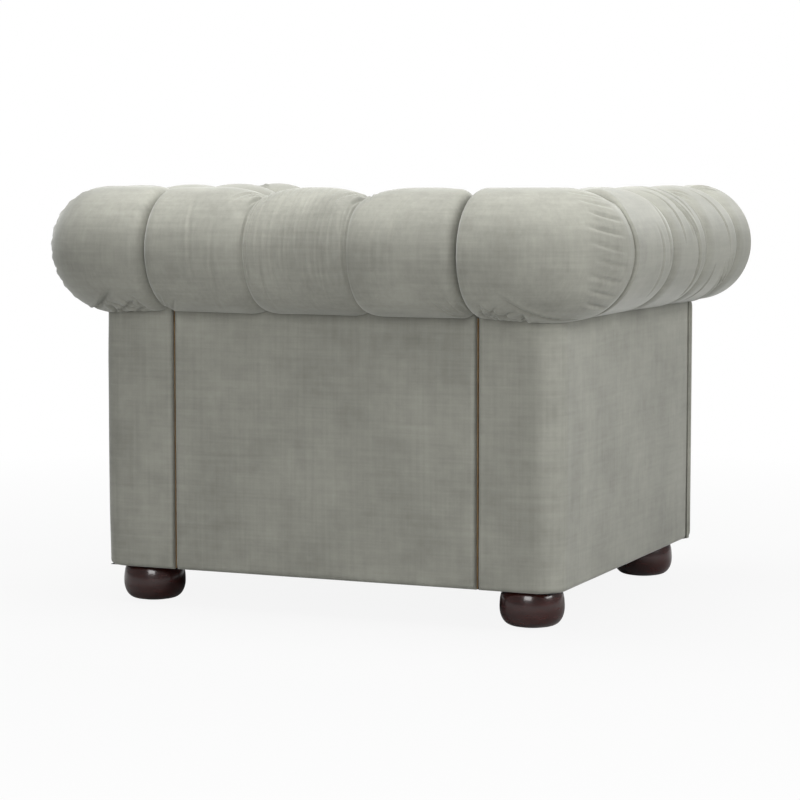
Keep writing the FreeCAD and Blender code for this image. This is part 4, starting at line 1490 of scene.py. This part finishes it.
@dataclass
class Boards:
    """Plain upholstered panels of the arms, the back and the front."""

    places: Places
    shop: Shop
    corner_radius: float = 0.046
    joint: float = 0.2872
    back_half: float = 0.2822
    thickness: float = 0.011
    facing_edge: float = 0.0095
    facing_slant: float = 0.015
    welt: float = 0.0031
    welt_turn: float = 0.012

    def drawn(
        self, corners: Sequence[tuple[float, float]], low: float, high: float, **sizes: float
    ) -> Panel:
        """Panel over a plan path, its outer side on the right of the path."""
        radius = self.corner_radius if len(corners) > 2 else 0.0
        path = bent_path(corners, radius, 0.004)
        return Panel(path, -left_of(path), low, high, **sizes)

    def outer(self) -> Panel:
        """Left arm's outer panel, down the side and round the rear corner."""
        side, rear, front = self.places.side, self.places.rear, self.places.front
        corners = [(side, front + 0.0012), (side, rear), (self.joint, rear)]
        sizes = dict(thickness=self.thickness, rounding=0.008, puff=0.0016, tautness=0.0005, seed=31)
        return self.drawn(corners, self.places.bottom, self.places.wall_top + 0.010, **sizes)

    def back(self) -> Panel:
        """Back's outer panel."""
        corners = [(self.back_half, self.places.rear), (-self.back_half, self.places.rear)]
        sizes = dict(thickness=self.thickness, rounding=0.009, puff=0.0018, tautness=0.0006, seed=44)
        return self.drawn(corners, self.places.bottom, self.places.wall_top + 0.010, **sizes)

    def facing(self) -> Panel:
        """Left arm's padded front board."""
        low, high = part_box("left_arm_facing")
        corners = [(low.x, low.y), (high.x, low.y)]
        thickness = high.y - low.y - 0.003
        sizes = dict(thickness=thickness, rounding=self.facing_edge, puff=0.0022, step=0.004, seed=52)
        panel = self.drawn(corners, low.z, high.z, **sizes)
        return replace(panel, slant=self.facing_slant)

    def apron(self) -> Panel:
        """Front board under the cushion."""
        low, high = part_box("front_apron")
        front = low.y + 0.0035
        corners = [(low.x, front), (high.x, front)]
        sizes = dict(thickness=high.y - front, rounding=0.009, puff=0.0035, tautness=0.0006, seed=63)
        return self.drawn(corners, low.z, high.z, **sizes)

    def welt_loop(self, panel: Panel) -> np.ndarray:
        """Loop round a facing, just behind its rounded edge."""
        left, right = float(panel.path[0, 0]), float(panel.path[-1, 0])
        plan = rounded_loop((left, panel.low), (right, panel.high), self.welt_turn, 9)
        shift = panel.slanted(plan[:, 0], plan[:, 1], left, right)
        depth = float(panel.path[0, 1]) + panel.rounding + 0.0035
        line = np.stack([plan[:, 0] + shift, np.full(len(plan), depth), plan[:, 1]], axis=1)
        return spaced(np.concatenate([line, line[:1]]), 0.004)[:-1]

    def build(self) -> None:
        """Make and hand over the panels."""
        outer, facing = self.outer(), self.facing()
        piping = Piping(self.shop.materials[Slot.VELVET])
        for side in Side:
            word = side.word
            shell = outer.build(f"{word}_outer_velvet", side)
            self.shop.hand_over(shell, Slot.VELVET, [f"{word}_arm_outer_panel"], fill=0.9)
            front = facing.build(f"{word}_facing_velvet", side)
            self.shop.hand_over(front, Slot.VELVET, [f"{word}_arm_facing"], fill=0.8)
            loop = Skin.mirrored(self.welt_loop(facing), side)
            welt = piping.along(f"{word}_facing_welt", [loop], self.welt, closed=True)
            self.shop.hand_over(welt, Slot.VELVET)
        back = self.back().build("back_outer_velvet")
        self.shop.hand_over(back, Slot.VELVET, ["back_outer_panel"], fill=0.9)
        apron = self.apron().build("front_apron_velvet")
        self.shop.hand_over(apron, Slot.VELVET, ["front_apron"], fill=0.8)


# Seat


@dataclass
class Pad:
    """Cushion block: crowned top, sides that belly, flat underside."""

    low: Vector
    high: Vector
    crown: float
    edge: float
    step: float = 0.008

    def rings(self) -> np.ndarray:
        """Rings across X, one after another along Y."""
        half = (self.high.x - self.low.x) / 2.0
        middle = (self.high.y + self.low.y) / 2.0
        reach = (self.high.y - self.low.y) / 2.0
        rings = []
        for y in stations(self.low.y, self.high.y, (), self.step, 0.002):
            share = abs(y - middle) / reach
            inset = float(end_roll(np.array(reach - abs(y - middle)), self.edge))
            top = self.high.z - inset - self.crown * share**2.4
            low = self.low.z + inset * 0.85
            rings.append(self.ring(y, half - inset, low, top))
        return np.array(rings)

    def ring(self, y: float, half: float, low: float, top: float) -> np.ndarray:
        """One closed section at y."""
        turns = np.linspace(0.0, 2.0 * math.pi, 241)[:-1]
        power = 2.0 / 7.0
        across = np.sign(np.cos(turns)) * np.abs(np.cos(turns)) ** power
        rise = np.sign(np.sin(turns)) * np.abs(np.sin(turns)) ** power
        height = (top - low) / 2.0
        x = across * half
        z = (top + low) / 2.0 + rise * height
        drop = self.crown * np.abs(x / max(self.high.x, 1e-6)) ** 2.4
        z = z - np.where(rise > 0.0, drop * rise, 0.0)
        return np.stack([x, np.full(len(turns), y), z], axis=1)


@dataclass
class Seat:
    """Loose cushion, its welts, and the sprung deck under it."""

    shop: Shop
    voxel: float = 0.0072
    slack: float = 0.010
    most_swell: float = 0.024
    pressure: float = 4.0
    frames: int = 20
    welt: float = 0.0033
    seam_pull: float = 0.013
    side_gap: float = 0.0012
    corner: float = 0.052

    def start_shape(self) -> bpy.types.Object:
        """Cushion block a little smaller than the finished cushion."""
        low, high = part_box("seat_cushion")
        low = Vector((low.x + self.slack * 0.6, low.y + self.slack, low.z + 0.002))
        high = Vector((high.x - self.slack * 0.6, high.y - self.slack * 0.8, high.z - self.slack))
        return Skin.tube("seat_cushion_velvet", Pad(low, high, crown=0.026, edge=0.022).rings())

    def inflated(self, piece: bpy.types.Object) -> bpy.types.Object:
        """Swell the cushion like a filled cover."""
        remesh = piece.modifiers.new("remesh", "REMESH")
        remesh.mode = "VOXEL"
        remesh.voxel_size = self.voxel
        self.apply(piece)
        start = self.points(piece)
        scene = bpy.context.scene
        cloth = piece.modifiers.new("cloth", "CLOTH")
        cloth.settings.use_pressure = True
        cloth.settings.uniform_pressure_force = self.pressure
        cloth.settings.effector_weights.gravity = 0.0
        cloth.settings.quality = 6
        cloth.settings.tension_stiffness = 14.0
        cloth.settings.compression_stiffness = 9.0
        cloth.settings.bending_stiffness = 1.2
        cloth.point_cache.frame_start = 1
        cloth.point_cache.frame_end = self.frames
        for number in range(1, self.frames + 1):
            scene.frame_set(number)
        self.apply(piece)
        scene.frame_set(1)
        moved = self.points(piece)
        travel = moved - start
        length = np.linalg.norm(travel, axis=1)
        factor = np.minimum(1.0, self.most_swell / np.maximum(length, 1e-9))
        self.set_points(piece, self.seated(start + travel * factor[:, None]))
        return piece

    def seated(self, points: np.ndarray) -> np.ndarray:
        """Keep the cushion's points between the arms, off the back and on the deck."""
        low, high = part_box("seat_cushion")
        wide = high.x - self.side_gap
        points[:, 0] = np.clip(points[:, 0], -wide, wide)
        points[:, 1] = np.clip(points[:, 1], low.y - 0.002, high.y - 0.001)
        points[:, 2] = np.clip(points[:, 2], low.z, high.z + 0.004)
        return points

    @staticmethod
    def apply(piece: bpy.types.Object) -> None:
        """Turn an object's modifiers into its mesh."""
        evaluated = piece.evaluated_get(bpy.context.evaluated_depsgraph_get())
        mesh = bpy.data.meshes.new_from_object(evaluated)
        piece.modifiers.clear()
        old = piece.data
        piece.data = mesh
        bpy.data.meshes.remove(old)
        mesh.name = piece.name
        mesh.polygons.foreach_set("use_smooth", [True] * len(mesh.polygons))

    @staticmethod
    def points(piece: bpy.types.Object) -> np.ndarray:
        """Places of an object's points."""
        flat = np.empty(len(piece.data.vertices) * 3, dtype=np.float32)
        piece.data.vertices.foreach_get("co", flat)
        return flat.reshape(-1, 3).astype(float)

    @staticmethod
    def set_points(piece: bpy.types.Object, points: np.ndarray) -> None:
        """Move an object's points."""
        piece.data.vertices.foreach_set("co", points.astype(np.float32).ravel())
        piece.data.update()

    def seam_loop(self, height: float, lift: float) -> np.ndarray:
        """Welt line round the boxing, higher in the middle of each side than at its corners."""
        low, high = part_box("seat_cushion")
        half = high.x - 0.0095
        front, rear = low.y + 0.022, high.y - 0.010
        plan = rounded_loop((-half, front), (half, rear), self.corner, 12)
        line = spaced(np.concatenate([plan, plan[:1]]), 0.004)[:-1]
        across = 1.0 - np.abs(line[:, 0] / half) ** 2.4
        along = 1.0 - np.abs((line[:, 1] - (front + rear) / 2.0) / ((rear - front) / 2.0)) ** 2.4
        bow = np.maximum(across, along)
        fore = smooth_step(front + 0.05 - line[:, 1], 0.0, 0.05) * across
        y = line[:, 1] - 0.013 * fore
        return np.stack([line[:, 0], y, height + lift * bow], axis=1)

    def pull_to_seams(self, piece: bpy.types.Object, loops: Sequence[np.ndarray]) -> None:
        """Draw the cushion's skin in to its welts."""
        marks = np.concatenate(loops)
        tree = KDTree(len(marks))
        for index, mark in enumerate(marks):
            tree.insert(Vector(mark), index)
        tree.balance()
        points = self.points(piece)
        for index, point in enumerate(points):
            nearest, _, distance = tree.find(Vector(point))
            if distance < 2.6 * self.seam_pull:
                share = math.exp(-((distance / self.seam_pull) ** 2))
                points[index] += (np.array(nearest) - point) * share * 0.9
        self.set_points(piece, self.seated(points))

    def build(self) -> None:
        """Make and hand over the cushion, its welts and the deck."""
        low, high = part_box("seat_cushion")
        cushion = self.inflated(self.start_shape())
        loops = [self.seam_loop(high.z - 0.052, 0.008), self.seam_loop(low.z + 0.020, 0.002)]
        self.pull_to_seams(cushion, loops)
        cushion.modifiers.new("finer", "SUBSURF").levels = 1
        self.apply(cushion)
        self.shop.hand_over(cushion, Slot.VELVET, ["seat_cushion"], LOOSE_SEAT, fill=0.75)
        piping = Piping(self.shop.materials[Slot.VELVET])
        for word, loop in zip(("upper", "lower"), loops):
            welt = piping.along(f"seat_cushion_{word}_welt", [loop], self.welt, closed=True)
            self.shop.hand_over(welt, Slot.VELVET, body=LOOSE_SEAT)
        low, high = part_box("seat_deck")
        deck = Skin.tube("seat_deck_cloth", Pad(low, high, crown=0.0, edge=0.016, step=0.010).rings())
        self.shop.hand_over(deck, Slot.PLATFORM, ["seat_deck"], fill=0.9)


# Underside and feet


class Lathe(Growth):
    """Copies of a finished turned shape, one at each host point."""

    def __init__(self, name: str, shape: bpy.types.Object, material: bpy.types.Material) -> None:
        """Build the tree round a finished turned shape."""
        super().__init__(name, material)
        source = self.node("GeometryNodeObjectInfo", {"Object": shape})
        copies = self.node(
            "GeometryNodeInstanceOnPoints",
            {"Points": self.entry.outputs["Host"], "Instance": source.outputs["Geometry"]},
        )
        self.close(copies.outputs[0])


@dataclass
class Underside:
    """Bun feet, black dust cover and the staples that hold it."""

    shop: Shop
    sides: int = 72
    foot_radius: float = 0.055
    base_radius: float = 0.030
    top_radius: float = 0.0465
    belly: float = 0.034
    staple_pitch: float = 0.030
    staple_inset: float = 0.009
    sag: float = 0.003

    def feet_places(self) -> np.ndarray:
        """Centres of the four feet on the floor."""
        low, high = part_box("bun_feet")
        across = high.x - self.foot_radius
        near, far = low.y + self.foot_radius, high.y - self.foot_radius
        return np.array([(x, y, low.z) for x in (-across, across) for y in (near, far)])

    def foot_profile(self) -> list[tuple[float, float]]:
        """Bun foot: small base, round belly, and a rounded shoulder in to a flat top."""
        low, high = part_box("bun_feet")
        height = high.z - low.z
        belly = self.belly - low.z
        profile = [(self.base_radius * 0.5, 0.0), (self.base_radius - 0.0015, 0.0)]
        for share in np.linspace(0.0, 1.0, 16):
            turn = share * math.pi / 2.0
            width = self.base_radius + (self.foot_radius - self.base_radius) * math.sin(turn) ** 0.82
            profile.append((width, 0.001 + (belly - 0.001) * (1.0 - math.cos(turn))))
        for share in np.linspace(0.0, 1.0, 14)[1:]:
            turn = share * math.pi / 2.0
            width = self.top_radius + (self.foot_radius - self.top_radius) * math.cos(turn) ** 0.9
            profile.append((width, belly + (height - belly - 0.001) * math.sin(turn)))
        profile += [(self.top_radius - 0.001, height), (self.top_radius * 0.5, height)]
        return profile

    def feet(self) -> None:
        """Turn one foot and set four copies of it."""
        shape = Skin.tube("foot_shape", Skin.lathe(self.foot_profile(), self.sides))
        places = self.feet_places()
        tree = Lathe("turned_feet", shape, self.shop.materials[Slot.DARK_WOOD])
        feet = tree.grow(point_host(places, np.zeros_like(places)), "turned_feet")
        self.shop.hand_over(feet, Slot.DARK_WOOD, ["bun_feet"])
        bpy.data.objects.remove(shape)

    def dust_cover(self) -> None:
        """Thin cloth stretched under the frame, sagging a little between its staples."""
        low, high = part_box("dust_cover")
        x = np.linspace(low.x, high.x, 90)
        y = np.linspace(low.y, high.y, 80)
        across, along = np.meshgrid(x, y, indexing="ij")
        edge = np.minimum(across - low.x, high.x - across)
        edge = np.minimum(edge, np.minimum(along - low.y, high.y - along))
        uneven = ripple(across, along, 0.0006, 71) * smooth_step(edge, 0, 0.04)
        drop = self.sag * smooth_step(edge, 0.01, 0.16) + uneven
        under = np.stack([across, along, low.z + 0.0002 - drop], axis=-1)
        over = np.stack([across, along, low.z + 0.0010 - drop], axis=-1)
        self.shop.hand_over(self.sheet_of("dust_cover_cloth", under, over), Slot.DUST, ["dust_cover"])

    @staticmethod
    def sheet_of(name: str, under: np.ndarray, over: np.ndarray) -> bpy.types.Object:
        """Closed thin sheet between two grids."""
        grid, faces, border = Skin.grid(*under.shape[:2])
        faces += [tuple(number + grid.size for number in reversed(face)) for face in faces]
        for here, there in zip(border, border[1:] + border[:1]):
            faces.append((there, here, here + grid.size, there + grid.size))
        points = np.concatenate([under.reshape(-1, 3), over.reshape(-1, 3)])
        return Skin.build(name, points, faces)

    def staples(self) -> None:
        """Wire staples round the dust cover's edge."""
        low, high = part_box("dust_cover")
        lines = []
        level = low.z - 0.0002
        inset = self.staple_inset
        for x in np.arange(low.x + 0.03, high.x - 0.02, self.staple_pitch):
            for y in (low.y + inset, high.y - inset):
                lines.append(np.array([(x - 0.005, y, level), (x + 0.005, y, level)]))
        for y in np.arange(low.y + 0.03, high.y - 0.02, self.staple_pitch):
            for x in (low.x + inset, high.x - inset):
                lines.append(np.array([(x, y - 0.005, level), (x, y + 0.005, level)]))
        piping = Piping(self.shop.materials[Slot.STEEL])
        staples = piping.along("dust_cover_staples", lines, 0.0006, closed=False)
        self.shop.hand_over(staples, Slot.STEEL)

    def build(self) -> None:
        """Make and hand over everything below the frame."""
        self.feet()
        self.dust_cover()
        self.staples()


def dress_frame(materials: dict[Slot, bpy.types.Material]) -> None:
    """Give every carried-over node the material of its slot."""
    for row in frame["record"]["subparts"]:
        node = bpy.data.objects.get(row["node"])
        if node is None or node.type != "MESH":
            continue
        material = materials[Slot(row["material_slot"])]
        if not node.material_slots:
            node.data.materials.append(material)
        for place in node.material_slots:
            place.material = material
        log.info("node %s: %s", row["node"], material.name)


# Studio


@dataclass(frozen=True)
class Softbox:
    """Area light aimed at a point."""

    name: str
    place: tuple[float, float, float]
    aim: tuple[float, float, float]
    size: tuple[float, float]
    power: float

    def build(self) -> None:
        """Add the light."""
        data = bpy.data.lights.new(self.name, "AREA")
        data.shape = "RECTANGLE"
        data.size, data.size_y = self.size
        data.energy = self.power
        lamp = bpy.data.objects.new(self.name, data)
        lamp.location = self.place
        way = Vector(self.aim) - Vector(self.place)
        lamp.rotation_euler = way.to_track_quat("-Z", "Y").to_euler()
        bpy.context.scene.collection.objects.link(lamp)


@dataclass(frozen=True)
class Studio:
    """White room with soft light, as in the photo, and the camera behind the chair on its right."""

    camera_place: tuple[float, float, float] = (-1.867, 4.3345, 0.778)
    camera_aim: tuple[float, float, float] = (0.008, -0.0305, 0.345)
    lens: float = 117.2
    world_level: float = 0.22
    floor_size: float = 30.0
    floor_white: float = 0.42
    floor_glow: float = 1.0
    floor_share: float = 0.90
    shadow_reach: float = 1.5
    lights: tuple[Softbox, ...] = (
        Softbox("top_softbox", (0.2, 0.3, 3.2), (0.0, 0.0, 0.4), (1.9, 1.9), 106.0),
        Softbox("side_softbox", (-3.2, 0.4, 1.7), (0.0, 0.0, 0.4), (1.4, 1.6), 60.0),
        Softbox("rear_softbox", (-0.6, 3.6, 1.5), (0.0, 0.0, 0.4), (1.6, 1.4), 44.0),
        Softbox("front_softbox", (0.8, -3.4, 1.6), (0.0, 0.0, 0.4), (2.0, 1.6), 34.0),
    )

    def world(self) -> None:
        """White background for the camera and for transmission rays, soft grey light for the rest."""
        world = bpy.data.worlds.new("white_room")
        world.use_nodes = True
        tree = world.node_tree
        tree.nodes.clear()
        path = tree.nodes.new("ShaderNodeLightPath")
        seen = tree.nodes.new("ShaderNodeMath")
        seen.operation = "MAXIMUM"
        tree.links.new(path.outputs["Is Camera Ray"], seen.inputs[0])
        tree.links.new(path.outputs["Is Transmission Ray"], seen.inputs[1])
        soft = tree.nodes.new("ShaderNodeBackground")
        soft.inputs["Color"].default_value = (1.0, 1.0, 1.0, 1.0)
        soft.inputs["Strength"].default_value = self.world_level
        white = tree.nodes.new("ShaderNodeBackground")
        white.inputs["Color"].default_value = (1.0, 1.0, 1.0, 1.0)
        white.inputs["Strength"].default_value = 1.0
        mix = tree.nodes.new("ShaderNodeMixShader")
        tree.links.new(seen.outputs[0], mix.inputs["Fac"])
        tree.links.new(soft.outputs[0], mix.inputs[1])
        tree.links.new(white.outputs[0], mix.inputs[2])
        out = tree.nodes.new("ShaderNodeOutputWorld")
        tree.links.new(mix.outputs[0], out.inputs["Surface"])
        bpy.context.scene.world = world

    def floor(self) -> None:
        """White floor that shows the chair's contact shadow and is lit white elsewhere."""
        board = Board("studio_floor")
        mottle = board.noise(board.places(), 3.0, 2.0, 0.5)
        diffuse = board.node(
            "ShaderNodeBsdfPrincipled",
            {
                "Base Color": board.tint(mottle, (self.floor_white,) * 3, (self.floor_white * 1.01,) * 3),
                "Roughness": 0.9,
                "Specular IOR Level": 0.05,
            },
        )
        white = {"Color": (1.0, 1.0, 1.0, 1.0), "Strength": self.floor_glow}
        glow = board.node("ShaderNodeEmission", white)
        camera_ray = board.add("ShaderNodeLightPath", out="Is Camera Ray")
        away = board.add("ShaderNodeVectorMath", {0: board.places()}, out="Value", operation="LENGTH")
        far = (away * (1.0 / self.shadow_reach) - 0.6).limited()
        glowing = camera_ray * (self.floor_share + (1.0 - self.floor_share) * far)
        mixed = board.node("ShaderNodeMixShader", {"Fac": glowing})
        board.tree.links.new(diffuse.outputs[0], mixed.inputs[1])
        board.tree.links.new(glow.outputs[0], mixed.inputs[2])
        half = self.floor_size / 2.0
        mesh = bpy.data.meshes.new("studio_floor")
        corners = [(-half, -half, 0.0), (half, -half, 0.0), (half, half, 0.0), (-half, half, 0.0)]
        mesh.from_pydata(corners, [], [(0, 1, 2, 3)])
        mesh.materials.append(board.finish(mixed))
        floor = bpy.data.objects.new("studio_floor", mesh)
        floor.location.z = -0.0004
        bpy.context.scene.collection.objects.link(floor)

    def camera(self) -> None:
        """Camera with a long lens."""
        data = bpy.data.cameras.new("camera")
        data.lens = self.lens
        data.sensor_width = 36.0
        data.dof.use_dof = False
        data.clip_end = 100.0
        camera = bpy.data.objects.new("camera", data)
        camera.location = self.camera_place
        way = Vector(self.camera_aim) - Vector(self.camera_place)
        camera.rotation_euler = way.to_track_quat("-Z", "Y").to_euler()
        bpy.context.scene.collection.objects.link(camera)
        bpy.context.scene.camera = camera

    def build(self) -> None:
        """Set up the room."""
        self.world()
        self.floor()
        for light in self.lights:
            light.build()
        self.camera()
        bpy.context.scene.view_settings.view_transform = "Standard"


def main() -> None:
    """Dress the chair and set up its studio."""
    logging.basicConfig(level=logging.INFO, format="%(name)s: %(message)s")
    materials = Palette().build()
    dress_frame(materials)
    places = Places.read()
    log.info("places: %s", places)
    shop = Shop(materials)
    Upholstery(places, shop).build()
    Boards(places, shop).build()
    Seat(shop).build()
    Underside(shop).build()
    Studio().build()
    log.info("%d pieces made", shop.count)


if __name__ == "__main__":
    main()
